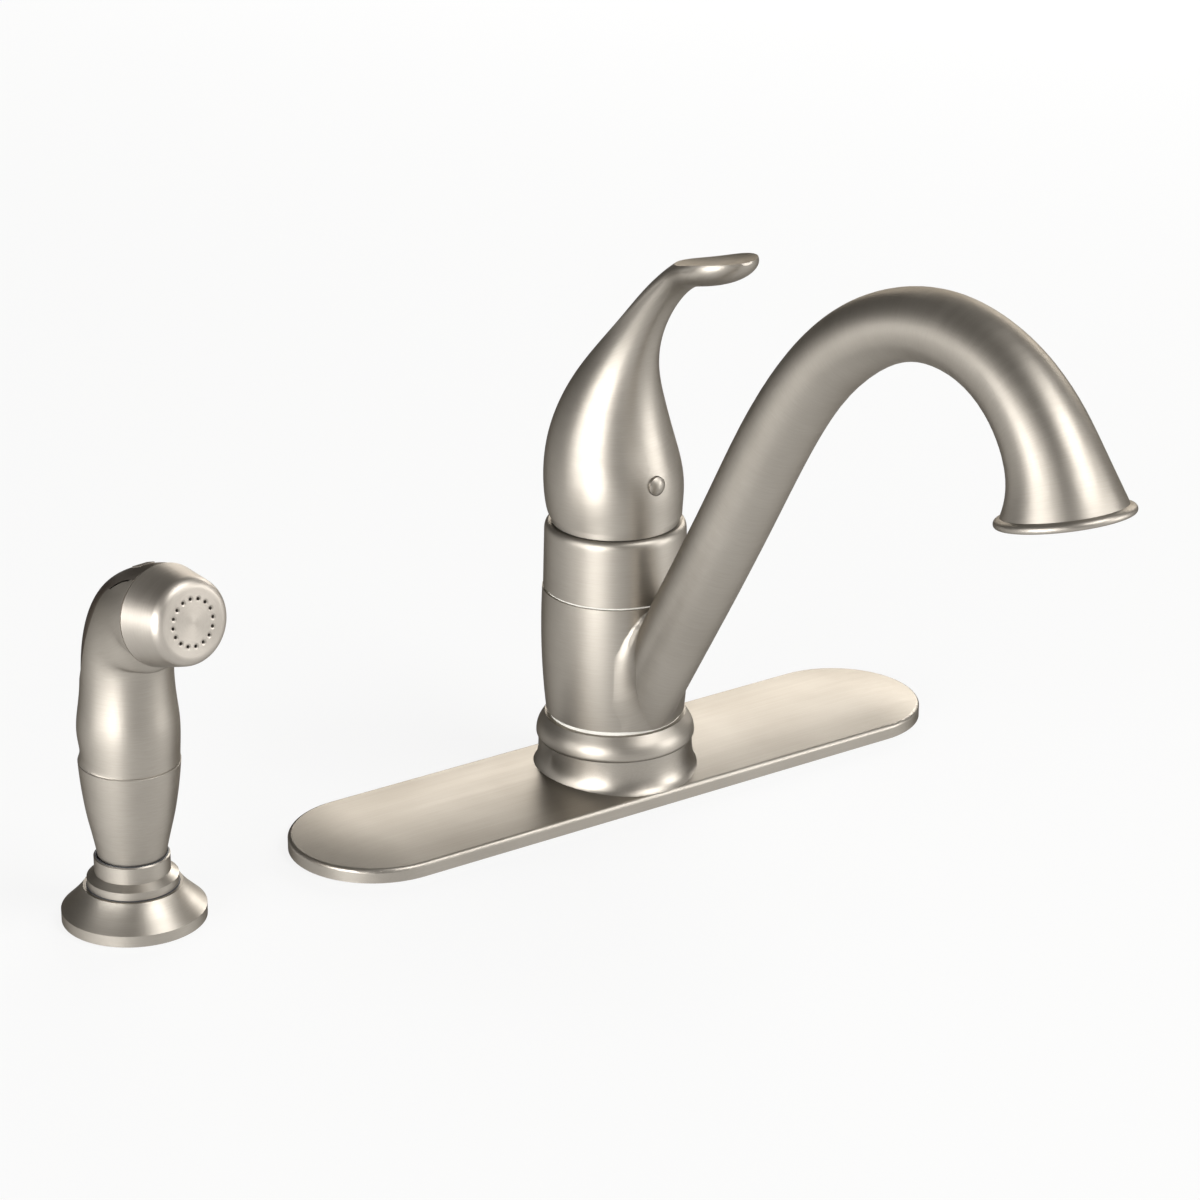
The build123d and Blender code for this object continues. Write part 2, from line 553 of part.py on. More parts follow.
def make_diverter():
    seat_top = DIVERTER_FLOOR + DIVERTER_SEAT_HEIGHT
    disc_top = seat_top + DIVERTER_DISC_HEIGHT
    stem_bore = DIVERTER_STEM_RADIUS + RUNNING_FIT
    keep("diverter_seat", tube(DIVERTER_RADIUS - ASSEMBLY_FIT, stem_bore, DIVERTER_FLOOR, seat_top))
    poppet = bar(DIVERTER_DISC_RADIUS, seat_top, disc_top)
    poppet += bar(DIVERTER_STEM_RADIUS, seat_top - DIVERTER_STEM_LENGTH, seat_top)
    keep("diverter_poppet", poppet)
    spring_bore = DIVERTER_SPRING_RADIUS - SPRING_WALL
    keep("diverter_spring", tube(DIVERTER_SPRING_RADIUS, spring_bore, disc_top, CARTRIDGE_FLOOR))


# ---------------------------------------------------------------- spout
def spout_runs():
    """The centre line as (length, radius): a radius of None is a straight run."""
    reach = (REACH_ARC_RADIUS, REACH_ARC_TURN)
    crown = (CROWN_ARC_RADIUS, CROWN_ARC_TURN)
    drop = (DROP_ARC_RADIUS, DROP_ARC_TURN)
    arcs = [(radius * math.radians(turn), radius) for radius, turn in (reach, crown, drop)]
    return [(LEG_LENGTH, None)] + arcs


def spout_point(run):
    """Forward distance, height and heading (radians above the level) at a run along the line."""
    forward, height, heading = 0.0, LEG_START_HEIGHT, math.radians(LEG_ANGLE)
    left = run
    for length, radius in spout_runs():
        part = min(left, length)
        left -= part
        if radius is None:
            forward += part * math.cos(heading)
            height += part * math.sin(heading)
        else:
            centre = (forward + radius * math.sin(heading), height - radius * math.cos(heading))
            heading -= part / radius
            forward = centre[0] - radius * math.sin(heading)
            height = centre[1] + radius * math.cos(heading)
    return forward, height, heading


def spout_end():
    return sum(length for length, radius in spout_runs())


def spout_plane(run):
    """Plane square to the centre line, looking along it towards the outlet."""
    forward, height, heading = spout_point(run)
    way = (0, -math.cos(heading), math.sin(heading))
    return Plane(origin=(0, -forward, height), x_dir=(1, 0, 0), z_dir=way)


def outlet_place():
    """Frame of the outlet: its origin on the lip's plane, +Z the way the water leaves."""
    forward, height, heading = spout_point(spout_end())
    run = LIP_HEIGHT
    return Plane(origin=(0, -forward - run * math.cos(heading), height + run * math.sin(heading)),
                 x_dir=(1, 0, 0), z_dir=(0, -math.cos(heading), math.sin(heading)))


def spout_form(inset, last_run):
    """Tapering body round the centre line, drawn in by an inset."""
    stations = [(run, radius) for run, radius in SPOUT_STATIONS if run <= last_run]
    if last_run == spout_end():
        stations.append((last_run, BELL_EDGE_RADIUS))
    circles = [spout_plane(run) * Circle(radius - inset) for run, radius in stations]
    return loft(circles)


def make_spout():
    low = hub_bottom()
    foot = (HUB_BOTTOM_RADIUS, low)
    brim = (HUB_TOP_RADIUS, HUB_TOP)
    side = Spline(foot, (HUB_LOW_RADIUS, HUB_LOW), (HUB_MIDDLE_RADIUS, HUB_MIDDLE), brim)
    hub = turned(side, steps(brim, (0, HUB_TOP), (0, low), foot))
    far = 2 * spout_end()
    above = Pos(0, 0, low + far / 2) * Box(far, far, far)
    spout = hub + (spout_form(0, spout_end()) & above)
    spout -= spout_form(SPOUT_WALL, WATERWAY_END)
    spout -= bar(POST_RADIUS + RUNNING_FIT, low - 1, HUB_TOP + 1)
    spout -= outlet_place() * bar(OUTLET_RADIUS, -OUTLET_DEPTH, 1)
    keep("spout", spout)


def make_outlet():
    place = outlet_place()
    root = (BELL_EDGE_RADIUS, -LIP_HEIGHT)
    front = (LIP_RADIUS - LIP_ROUND, 0)
    bead = Spline(root, (LIP_RADIUS, -LIP_HEIGHT / 2), front, tangents=((1, 0.3), (-1, 0.1)))
    inside = steps(front, (LIP_BORE, 0), (LIP_BORE, -LIP_HEIGHT), root)
    keep("spout_lip", place * turned(bead, inside))
    shell_radius = OUTLET_RADIUS - ASSEMBLY_FIT
    gasket_low = -OUTLET_DEPTH
    shell_low = gasket_low + AERATOR_GASKET_HEIGHT
    bore = shell_radius - AERATOR_WALL
    screen_top = -AERATOR_RECESS
    screen_low = screen_top - AERATOR_SCREEN_HEIGHT
    shell = tube(shell_radius, bore, shell_low, screen_low) + tube(shell_radius, bore, screen_low, screen_top)
    keep("aerator_shell", place * shell)
    keep("aerator_gasket", place * tube(shell_radius, bore, gasket_low, shell_low))
    screen = bar(bore - ASSEMBLY_FIT, screen_low, screen_top)
    for ring_number in range(1, AERATOR_SCREEN_RINGS + 1):
        ring_radius = ring_number * (bore - AERATOR_SCREEN_HOLE) / (AERATOR_SCREEN_RINGS + 0.5)
        holes = PolarLocations(ring_radius, 6 * ring_number)
        screen -= [hole * bar(AERATOR_SCREEN_HOLE / 2, screen_low - 1, screen_top + 1) for hole in holes]
    keep("aerator_screen", place * screen)


# ---------------------------------------------------------------- handle
def hinge_height():
    """Height of the hinge pin, and of the stem's ball at rest."""
    return PIVOT_RING_TOP + HINGE_RISE


def boss_bottom():
    return PIVOT_RING_TOP + ADAPTER_BOSS_GAP


def neck_top():
    return SKIRT_ROOF + ADAPTER_NECK_RISE


def button_height():
    return SKIRT_ROOF + BUTTON_RISE


def handle_place():
    """The handle and its hinge stand turned about the faucet's axis."""
    return Rot(Z=HANDLE_TURN)


def cross_bar(radius, length, y, z):
    """Cylinder along X, centred on the faucet's middle plane."""
    return Pos(0, y, z) * Rot(Y=90) * Cylinder(radius, length)


def front_bar(radius, near, far, height):
    """Level cylinder that runs from a near to a far distance in front of the axis."""
    return Pos(0, -(near + far) / 2, height) * Rot(X=90) * Cylinder(radius, far - near)


def make_pivot_ring():
    ring = tube(PIVOT_RING_RADIUS, PIVOT_RING_BORE, BODY_TOP, PIVOT_RING_TOP)
    rim_low = COLLAR_RING_TOP + MOVING_GAP
    rim = tube(RIM_RADIUS, PIVOT_RING_RADIUS - EAR_ROOT, rim_low, HANDLE_BOTTOM - MOVING_GAP)
    rim -= Pos(0, RIM_BACK + RIM_RADIUS, HANDLE_BOTTOM) * Box(4 * RIM_RADIUS, 2 * RIM_RADIUS, HANDLE_BOTTOM)
    ring += rim
    width = EAR_OUTER - EAR_INNER
    foot_front = HINGE_BACK - EAR_RADIUS
    foot_back = HINGE_BACK + EAR_FOOT_BACK
    foot_low = PIVOT_RING_TOP - EAR_ROOT
    for side in (-1, 1):
        x = side * (EAR_INNER + EAR_OUTER) / 2
        ring += Pos(x, 0, 0) * cross_bar(EAR_RADIUS, width, HINGE_BACK, hinge_height())
        ring += Pos(x, (foot_front + foot_back) / 2, (foot_low + hinge_height()) / 2) * Box(
            width, foot_back - foot_front, hinge_height() - foot_low)
    ring -= cross_bar(HINGE_PIN_RADIUS + SEAL_SQUEEZE, 4 * EAR_OUTER, HINGE_BACK, hinge_height())
    keep("pivot_ring", handle_place() * ring)
    pin = cross_bar(HINGE_PIN_RADIUS, HINGE_PIN_LENGTH, HINGE_BACK, hinge_height())
    keep("hinge_pin", handle_place() * pin)


def handle_form():
    """Bulb, swan neck and paddle, lofted through ovals square to the spine."""
    ovals = []
    last = len(HANDLE_STATIONS) - 1
    for number, (y, z, depth, width) in enumerate(HANDLE_STATIONS):
        before = HANDLE_STATIONS[max(number - 1, 0)]
        after = HANDLE_STATIONS[min(number + 1, last)]
        heading = (0, 0, 1) if number == 0 else (0, after[0] - before[0], after[1] - before[1])
        ovals.append(Plane(origin=(0, y, z), x_dir=(1, 0, 0), z_dir=heading) * Ellipse(width, depth))
    return loft(ovals)


def paddle_dish():
    """Ring-shaped cutter whose underside hollows the top of the paddle."""
    slope = math.radians(DISH_SLOPE)
    y = DISH_BACK + DISH_LONG_RADIUS * math.sin(slope)
    z = DISH_HEIGHT + DISH_LONG_RADIUS * math.cos(slope)
    return Pos(0, y, z) * Rot(Y=90) * Torus(DISH_LONG_RADIUS - DISH_CROSS_RADIUS, DISH_CROSS_RADIUS)


def make_handle():
    handle = handle_form() - paddle_dish()
    handle -= bar(SKIRT_BORE, HANDLE_BOTTOM - 1, SKIRT_ROOF)
    handle -= bar(ADAPTER_NECK_RADIUS + ASSEMBLY_FIT, SKIRT_ROOF - 1, neck_top())
    handle -= front_bar(SET_SCREW_RADIUS + ASSEMBLY_FIT, 0, 2 * SKIRT_BORE, button_height())
    button_back = BUTTON_FACE - BUTTON_DEPTH
    handle -= front_bar(BUTTON_RADIUS + ASSEMBLY_FIT, button_back, 2 * SKIRT_BORE, button_height())
    keep("handle_lever", handle_place() * handle)


def make_handle_adapter():
    plate_low = SKIRT_ROOF - ADAPTER_PLATE_HEIGHT
    adapter = bar(ADAPTER_PLATE_RADIUS, plate_low, SKIRT_ROOF)
    adapter += bar(ADAPTER_NECK_RADIUS, plate_low, neck_top())
    adapter += bar(ADAPTER_BOSS_RADIUS, boss_bottom(), plate_low)
    adapter += cross_bar(LUG_RADIUS, 2 * LUG_HALF_WIDTH, HINGE_BACK, hinge_height())
    adapter += Pos(0, HINGE_BACK, (hinge_height() + plate_low + 1) / 2) * Box(
        2 * LUG_HALF_WIDTH, 2 * LUG_RADIUS, plate_low + 1 - hinge_height())
    adapter -= cross_bar(HINGE_PIN_RADIUS + RUNNING_FIT, 4 * LUG_HALF_WIDTH, HINGE_BACK, hinge_height())
    slot_run = BALL_SLOT_FRONT + BALL_SLOT_BACK
    slot_middle = (BALL_SLOT_BACK - BALL_SLOT_FRONT) / 2
    adapter -= Pos(0, slot_middle, hinge_height()) * Rot(X=90) * Cylinder(BALL_SLOT_RADIUS, slot_run)
    adapter -= Pos(0, slot_middle, boss_bottom()) * Box(
        2 * STEM_SLOT_HALF_WIDTH, slot_run, 2 * (hinge_height() - boss_bottom()))
    keep("handle_adapter", handle_place() * adapter)


def make_button():
    screw_near = ADAPTER_NECK_RADIUS + ASSEMBLY_FIT
    screw_far = screw_near + SET_SCREW_LENGTH
    screw = front_bar(SET_SCREW_RADIUS, screw_near, screw_far, button_height())
    hexagon_face = RegularPolygon(SET_SCREW_KEY, 6)
    key = extrude(hexagon_face, SET_SCREW_LENGTH / 4, both=True)
    key = Pos(0, -screw_far, button_height()) * Rot(X=90) * key
    keep("handle_set_screw", handle_place() * (screw - key))
    dome_radius = (BUTTON_RADIUS ** 2 + BUTTON_DOME ** 2) / (2 * BUTTON_DOME)
    halfway = math.sqrt(dome_radius ** 2 - BUTTON_RADIUS ** 2 / 4) - dome_radius + BUTTON_DOME
    dome = ThreePointArc((BUTTON_RADIUS, 0), (BUTTON_RADIUS / 2, halfway), (0, BUTTON_DOME))
    outline = steps((0, BUTTON_DOME), (0, -BUTTON_DEPTH), (BUTTON_RADIUS, -BUTTON_DEPTH), (BUTTON_RADIUS, 0))
    button = Pos(0, -BUTTON_FACE, button_height()) * Rot(X=90) * turned(dome, outline)
    keep("plug_button", handle_place() * button)


# ---------------------------------------------------------------- spray holder
def spray_x():
    return -HOLE_SPACING * SPRAY_HOLE_STEPS


def grip_outline_edge():
    """Side of the wand's grip from its foot to the joint."""
    swell = [(radius, height) for height, radius in GRIP_STATIONS]
    foot = (WAND_FOOT_RADIUS, WAND_FOOT)
    mouth = (WAND_MOUTH_RADIUS, SLEEVE_TOP)
    return Spline(foot, mouth, *swell, (WAND_JOINT_RADIUS, WAND_JOINT - JOINT_CHAMFER))


def make_spray_holder():
    place = Pos(spray_x(), 0, 0)
    cone = Spline((SPRAY_FLANGE_RADIUS, SPRAY_FLANGE_EDGE), (SPRAY_FLANGE_TOP_RADIUS, SPRAY_FLANGE_TOP),
                  tangents=((-0.72, 0.69), (-0.55, 0.83)))
    rest = steps((SPRAY_FLANGE_TOP_RADIUS, SPRAY_FLANGE_TOP), (SPRAY_FLANGE_BORE, SPRAY_FLANGE_TOP),
                 (SPRAY_FLANGE_BORE, 0), (SPRAY_FLANGE_RADIUS, 0), (SPRAY_FLANGE_RADIUS, SPRAY_FLANGE_EDGE))
    keep("spray_flange", place * turned(cone, rest))
    bevel_top = SLEEVE_RING_HIGH + SLEEVE_RING_RADIUS - SLEEVE_RADIUS - SLEEVE_BEVEL
    mouth = WAND_MOUTH_RADIUS + SEAT_GAP
    foot = WAND_FOOT_RADIUS + SEAT_GAP
    ring = steps((SLEEVE_TAIL_RADIUS, SPRAY_FLANGE_TOP), (SLEEVE_RING_RADIUS, SPRAY_FLANGE_TOP),
                 (SLEEVE_RING_RADIUS, SLEEVE_RING_HIGH), (SLEEVE_RADIUS, bevel_top))
    neck = steps((SLEEVE_RADIUS, bevel_top), (SLEEVE_RADIUS, SLEEVE_TOP - SLEEVE_CHAMFER),
                 (SLEEVE_RADIUS - SLEEVE_CHAMFER, SLEEVE_TOP), (mouth, SLEEVE_TOP))
    seat = steps((mouth, SLEEVE_TOP), (foot, SLEEVE_SEAT_HEIGHT), (SLEEVE_BORE, SLEEVE_SEAT_HEIGHT))
    tail = steps((SLEEVE_BORE, SLEEVE_SEAT_HEIGHT), (SLEEVE_BORE, -SLEEVE_TAIL_LENGTH),
                 (SLEEVE_TAIL_RADIUS, -SLEEVE_TAIL_LENGTH), (SLEEVE_TAIL_RADIUS, SPRAY_FLANGE_TOP))
    sleeve = turned(ring, neck, seat, tail)
    keep("spray_sleeve", place * sleeve)
    gasket_low = -DECK_THICKNESS - HOLDER_GASKET_HEIGHT
    bore = SLEEVE_TAIL_RADIUS + ASSEMBLY_FIT
    keep("holder_gasket", place * tube(HOLDER_GASKET_RADIUS, bore, gasket_low, -DECK_THICKNESS))
    nut = hexagon(HOLDER_NUT_RADIUS, gasket_low - HOLDER_NUT_HEIGHT, gasket_low)
    nut -= bar(bore, gasket_low - HOLDER_NUT_HEIGHT - 1, gasket_low + 1)
    keep("holder_nut", place * nut)


# ---------------------------------------------------------------- spray wand
def wand_place():
    """From the wand's own frame to the faucet's."""
    tilt = Rot(Z=WAND_TURN) * Rot(X=WAND_LEAN)
    return Pos(spray_x(), 0, WAND_LEAN_HEIGHT) * tilt * Pos(0, 0, -WAND_LEAN_HEIGHT)


def elbow_turn():
    return math.radians(90 - HEAD_TILT)


def elbow_plane(share):
    """Plane square to the head's centre line at a share of its bend."""
    angle = share * elbow_turn()
    forward = ELBOW_RADIUS * (1 - math.cos(angle))
    height = ELBOW_START + ELBOW_RADIUS * math.sin(angle)
    way = (0, -math.sin(angle), math.cos(angle))
    return Plane(origin=(0, -forward, height), x_dir=(1, 0, 0), z_dir=way)


def face_place():
    """Frame of the spray face: origin at its middle, +Z the way the water leaves."""
    return elbow_plane(1.0).location * Pos(0, 0, FACE_DISTANCE)


def head_form(side_inset, inset, proud, lowest):
    """Neck and bent head, drawn in all round and standing proud at the back of the neck."""
    ovals = []
    stations = []
    for height, radius in NECK_STATIONS:
        if height >= lowest:
            stations.append((Plane(origin=(0, 0, height)), radius, proud))
    for share, radius in ELBOW_STATIONS:
        stations.append((elbow_plane(share), radius, proud * (1 - share)))
    stations.append((elbow_plane(1.0).offset(HEAD_TRIM), CAP_SEAM_RADIUS, 0))
    for plane, radius, lift in stations:
        oval = Ellipse(radius - inset + lift / 2, radius - inset - side_inset, rotation=90)
        ovals.append(plane * Pos(0, lift / 2, 0) * oval)
    return loft(ovals)


def before_cap(gap):
    """Bar that cuts the head off square, a gap behind the nozzle cap."""
    return face_place() * bar(2 * CAP_SEAM_RADIUS, -FACE_DISTANCE - gap, 0)


def behind_seam(shift, drop):
    """Block that fills all behind the trigger's seam, moved forward and down."""
    points = [(-(forward + shift), height - drop) for forward, height in TRIGGER_SEAM]
    far = 3 * CAP_SEAM_RADIUS
    top_forward = points[0][0]
    curve = Spline(*points)
    low = points[-1]
    ceiling = low[1] + 4 * far
    frame = steps(low, (far, low[1] - CAP_SEAM_RADIUS), (far, ceiling), (top_forward, ceiling), points[0])
    return extrude(Plane.YZ * make_face([curve, frame]), 2 * far, both=True)


def make_wand_grip():
    top = WAND_JOINT
    edge_radius = WAND_JOINT_RADIUS - JOINT_CHAMFER
    grip = turned(grip_outline_edge(), steps((WAND_JOINT_RADIUS, top - JOINT_CHAMFER), (edge_radius, top),
                                             (0, top), (0, WAND_FOOT), (WAND_FOOT_RADIUS, WAND_FOOT)))
    grip -= bar(WAND_BORE, 0, top + 1)
    grip -= bar(WAND_SEAL_RADIUS + ASSEMBLY_FIT, top - WAND_SEAL_HEIGHT, top + 1)
    keep("wand_grip", wand_place() * grip)
    keep("wand_joint_seal", wand_place() * tube(WAND_SEAL_RADIUS, WAND_BORE, top - WAND_SEAL_HEIGHT, top))
    connector = bar(CONNECTOR_RADIUS, WAND_FOOT, CONNECTOR_TOP)
    connector += bar(CONNECTOR_NIPPLE_RADIUS, CONNECTOR_LOW, WAND_FOOT)
    connector -= bar(CONNECTOR_BORE, CONNECTOR_LOW - 1, CONNECTOR_TOP + 1)
    keep("hose_connector", wand_place() * connector)


def trigger_form(inset, lowest):
    """The trigger's outer form, drawn in all round."""
    return head_form(TRIGGER_SIDE_INSET, inset, TRIGGER_PROUD, lowest)


def pin_place():
    """Frame of the trigger's hinge: origin on the pin's axis."""
    return elbow_plane(TRIGGER_PIN_SHARE).location * Pos(0, TRIGGER_PIN_OUT, 0)


def pin_bar(radius, length):
    return pin_place() * Rot(Y=90) * Cylinder(radius, length)


def pressed(shape):
    """The shape as it lies with the trigger pressed, turned about the trigger's pin."""
    hinge = pin_place()
    return hinge * Rot(X=-TRIGGER_TURN) * hinge.inverse() * shape


def level_bar(radius, back, front):
    """Level cylinder through the neck between two distances behind the wand's axis."""
    return Pos(0, (back + front) / 2, PLUNGER_HEIGHT) * Rot(X=90) * Cylinder(radius, back - front)


def nozzle_stack():
    """Distance from the face back to the inner side of the nozzle's gasket."""
    return CAP_WALL + NOZZLE_DISC_HEIGHT + NOZZLE_GASKET_HEIGHT


def make_wand_body():
    place = wand_place()
    lowest = NECK_STATIONS[0][0]
    trigger_lowest = NECK_STATIONS[2][0]
    room = behind_seam(2 * MOVING_GAP, MOVING_GAP)
    swept = place * (room + pressed(room))
    pocket = place * trigger_form(-MOVING_GAP, trigger_lowest) & swept
    core = place * trigger_form(TRIGGER_WALL + TRIGGER_STROKE + MOVING_GAP, lowest) & swept
    body = place * head_form(0, 0, 0, lowest) - place * behind_seam(0, 0) - pocket + core
    body -= place * before_cap(0)
    body += place * face_place() * bar(SPIGOT_RADIUS, -FACE_DISTANCE - SPIGOT_ROOT, -nozzle_stack())
    body -= place * face_place() * bar(HEAD_BORE, -HEAD_BORE_DEPTH, 0)
    body -= place * bar(HEAD_BORE, lowest - 1, NECK_BORE_TOP)
    passage = bar(VALVE_PASSAGE, PLUNGER_HEIGHT, ELBOW_START + ELBOW_RADIUS)
    body -= place * Pos(0, -VALVE_PASSAGE_FRONT, 0) * passage
    slot_half = TRIGGER_LUG_RADIUS + TRIGGER_LUG_SWING
    slot_low = -TRIGGER_LUG_RADIUS - MOVING_GAP
    slot_width = 2 * (TRIGGER_LUG_HALF_WIDTH + MOVING_GAP)
    slot = Box(slot_width, ELBOW_RADIUS, 2 * slot_half)
    body -= place * pin_place() * Pos(0, slot_low + ELBOW_RADIUS / 2, 0) * slot
    body -= place * pin_bar(TRIGGER_PIN_RADIUS + SEAL_SQUEEZE, TRIGGER_PIN_LENGTH)
    body -= place * level_bar(PLUNGER_RADIUS + RUNNING_FIT, PLUNGER_BACK + TRIGGER_STROKE, 0)
    body -= place * level_bar(PLUNGER_CHAMBER_RADIUS, 0, -PLUNGER_CHAMBER_FRONT)
    keep("wand_body", body)


def make_trigger():
    lowest = NECK_STATIONS[2][0]
    trigger = trigger_form(0, lowest) - trigger_form(TRIGGER_WALL, lowest)
    trigger &= behind_seam(MOVING_GAP, 0)
    trigger -= before_cap(MOVING_GAP)
    lug = pin_bar(TRIGGER_LUG_RADIUS, 2 * TRIGGER_LUG_HALF_WIDTH)
    lug += pin_place() * Pos(0, TRIGGER_LUG_REACH / 2, 0) * Box(
        2 * TRIGGER_LUG_HALF_WIDTH, TRIGGER_LUG_REACH, 2 * TRIGGER_LUG_RADIUS)
    trigger = trigger + lug - pin_bar(TRIGGER_PIN_RADIUS + RUNNING_FIT, TRIGGER_PIN_LENGTH)
    keep("trigger_lever", wand_place() * trigger)
    keep("trigger_pin", wand_place() * pin_bar(TRIGGER_PIN_RADIUS, TRIGGER_PIN_LENGTH))


def make_spray_valve():
    disc_front = -VALVE_SEAT_FRONT - PLUNGER_DISC_LENGTH
    seat_back = -VALVE_SEAT_FRONT + VALVE_SEAT_LENGTH
    seat = level_bar(PLUNGER_CHAMBER_RADIUS - ASSEMBLY_FIT, seat_back, -VALVE_SEAT_FRONT)
    seat -= level_bar(VALVE_SEAT_BORE, 1, -PLUNGER_CHAMBER_FRONT)
    keep("valve_seat", wand_place() * seat)
    plunger = level_bar(PLUNGER_RADIUS, PLUNGER_BACK, -VALVE_SEAT_FRONT)
    plunger += level_bar(PLUNGER_DISC_RADIUS, -VALVE_SEAT_FRONT, disc_front)
    keep("spray_plunger", wand_place() * plunger)
    spring = level_bar(PLUNGER_SPRING_RADIUS, disc_front, PLUNGER_TRAVEL - PLUNGER_CHAMBER_FRONT)
    spring -= level_bar(PLUNGER_SPRING_RADIUS - SPRING_WALL, disc_front + 1, -PLUNGER_CHAMBER_FRONT)
    keep("plunger_spring", wand_place() * spring)


def make_nozzle():
    seam = -FACE_DISTANCE
    edge = (CAP_EDGE_RADIUS, 0)
    back = (CAP_SEAM_RADIUS, seam + SEAM_CHAMFER)
    side = Spline(back, (CAP_SHOULDER_RADIUS, -CAP_SHOULDER), (CAP_FRONT_RADIUS, -CAP_FRONT), edge)
    cap = turned(side, steps(back, (CAP_SEAM_RADIUS - SEAM_CHAMFER, seam), (0, seam), (0, 0), edge))
    cap = fillet(cap.edges().group_by(Axis.Z)[-1], CAP_ROUND)
    cap -= bar(SPIGOT_RADIUS + ASSEMBLY_FIT, seam - 1, -CAP_WALL)
    dish = Cone(0, 2 * SPRAY_DISH_RADIUS, 2 * SPRAY_DISH_DEPTH)
    disc_low = -CAP_WALL - NOZZLE_DISC_HEIGHT
    disc = bar(SPIGOT_RADIUS, disc_low, -CAP_WALL)
    for hole in PolarLocations(SPRAY_HOLE_CIRCLE, SPRAY_HOLE_COUNT):
        jet = hole * bar(SPRAY_HOLE_RADIUS, disc_low - 1, 1)
        cap -= jet + hole * dish
        disc -= jet
    keep("nozzle_cap", wand_place() * face_place() * cap)
    gasket = tube(SPIGOT_RADIUS, NOZZLE_GASKET_BORE, -nozzle_stack(), disc_low)
    keep("nozzle_disc", wand_place() * face_place() * disc)
    keep("nozzle_gasket", wand_place() * face_place() * gasket)


# ---------------------------------------------------------------- build
def main():
    make_deck_plate()
    make_under_plate()
    make_plate_studs()
    make_shank_hardware()
    make_stubs()
    make_valve_body()
    make_base_ring()
    make_glide_rings()
    make_upper_collar()
    make_cartridge()
    make_stem()
    make_diverter()
    make_spout()
    make_outlet()
    make_pivot_ring()
    make_handle()
    make_handle_adapter()
    make_button()
    make_spray_holder()
    make_wand_grip()
    make_wand_body()
    make_trigger()
    make_spray_valve()
    make_nozzle()
    os.makedirs("parts", exist_ok=True)
    for name, shape in PARTS.items():
        export_step(shape, "parts/" + name + ".step")


main()
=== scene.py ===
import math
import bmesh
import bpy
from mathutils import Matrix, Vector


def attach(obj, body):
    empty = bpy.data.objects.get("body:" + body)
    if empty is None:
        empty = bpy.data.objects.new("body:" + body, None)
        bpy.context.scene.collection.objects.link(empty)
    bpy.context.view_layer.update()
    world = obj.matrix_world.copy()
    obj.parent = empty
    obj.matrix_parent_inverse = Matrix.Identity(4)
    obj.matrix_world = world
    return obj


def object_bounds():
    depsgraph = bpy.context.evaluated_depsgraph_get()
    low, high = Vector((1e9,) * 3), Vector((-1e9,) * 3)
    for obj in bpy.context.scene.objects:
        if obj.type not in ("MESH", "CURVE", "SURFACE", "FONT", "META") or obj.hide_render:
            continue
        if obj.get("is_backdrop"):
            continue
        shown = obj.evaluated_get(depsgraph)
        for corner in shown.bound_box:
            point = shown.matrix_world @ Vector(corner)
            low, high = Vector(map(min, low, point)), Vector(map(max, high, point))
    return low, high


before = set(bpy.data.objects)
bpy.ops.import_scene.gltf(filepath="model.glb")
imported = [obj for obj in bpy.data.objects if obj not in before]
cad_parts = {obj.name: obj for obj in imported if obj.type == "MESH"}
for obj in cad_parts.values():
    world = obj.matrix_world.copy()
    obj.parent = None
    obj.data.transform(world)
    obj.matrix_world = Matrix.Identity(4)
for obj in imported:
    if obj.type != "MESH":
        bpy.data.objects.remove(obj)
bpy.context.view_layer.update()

# %% [markdown]
# # A side spray kitchen faucet in satin nickel
# The solids come ready made, so this lesson is about finish and light. A faucet like this
# is cast and turned in brass, brushed with a fine belt, plated with nickel and lacquered.
# What the eye reads is the brushing: fine lines that run round each turned form and smear
# every highlight across themselves. The plan is one brushed nickel that can follow a turned
# axis, a straight plate or the bent spout, plainer materials for the works, and a few
# pieces of mesh for what the solids leave plain.

MM = 0.001


# %% [markdown]
# ## Helpers for materials
# A maker's colour card is in sRGB, and the shader wants linear light, so one function
# turns a hex colour into linear values. Another adds one node with its settings, its
# fixed values and its links, which keeps each material down to the few lines that matter.

# %% Colour and node helpers
def linear(colour):
    """Linear RGBA of an sRGB hex colour."""
    shares = [int(colour[place:place + 2], 16) / 255 for place in (1, 3, 5)]
    light = [s / 12.92 if s <= 0.04045 else ((s + 0.055) / 1.055) ** 2.4 for s in shares]
    return (*light, 1.0)


def add(tree, kind, settings=None, values=None, links=None):
    """One new node, with its settings, the values of its sockets and what feeds them."""
    node = tree.nodes.new("ShaderNode" + kind)
    for name, value in (settings or {}).items():
        setattr(node, name, value)
    for socket, value in (values or {}).items():
        node.inputs[socket].default_value = value
    for socket, source in (links or {}).items():
        output = source if isinstance(source, bpy.types.NodeSocket) else source.outputs[0]
        tree.links.new(output, node.inputs[socket])
    return node


def new_material(name):
    """An empty material and its node tree."""
    material = bpy.data.materials.new(name)
    material.use_nodes = True
    material.node_tree.nodes.clear()
    return material, material.node_tree


print("warm nickel", [round(value, 3) for value in linear("#B4AC9F")[:3]])


# %% [markdown]
# ## Which way the brush ran
# Brushing has a direction at every point. On a turned piece it runs round the axis, on the
# plate it runs along the length, and on the spout it runs round the bent tube. Each helper
# below gives two vectors: the stroke, which is the direction of the scratches, and a place
# that changes quickly across the scratches and slowly along them. Noise looked up at that
# place becomes scratches by itself.

# %% Strokes round a turned axis
SCRATCH = 0.32 * MM   # real belt scratches are near 0.1 mm apart, drawn coarser so that they show
SLOW = 3.0            # how often a scratch fades in one turn


def place_of(tree):
    """The point on the piece, in the frame of the solids."""
    return add(tree, "TexCoord").outputs["Object"]


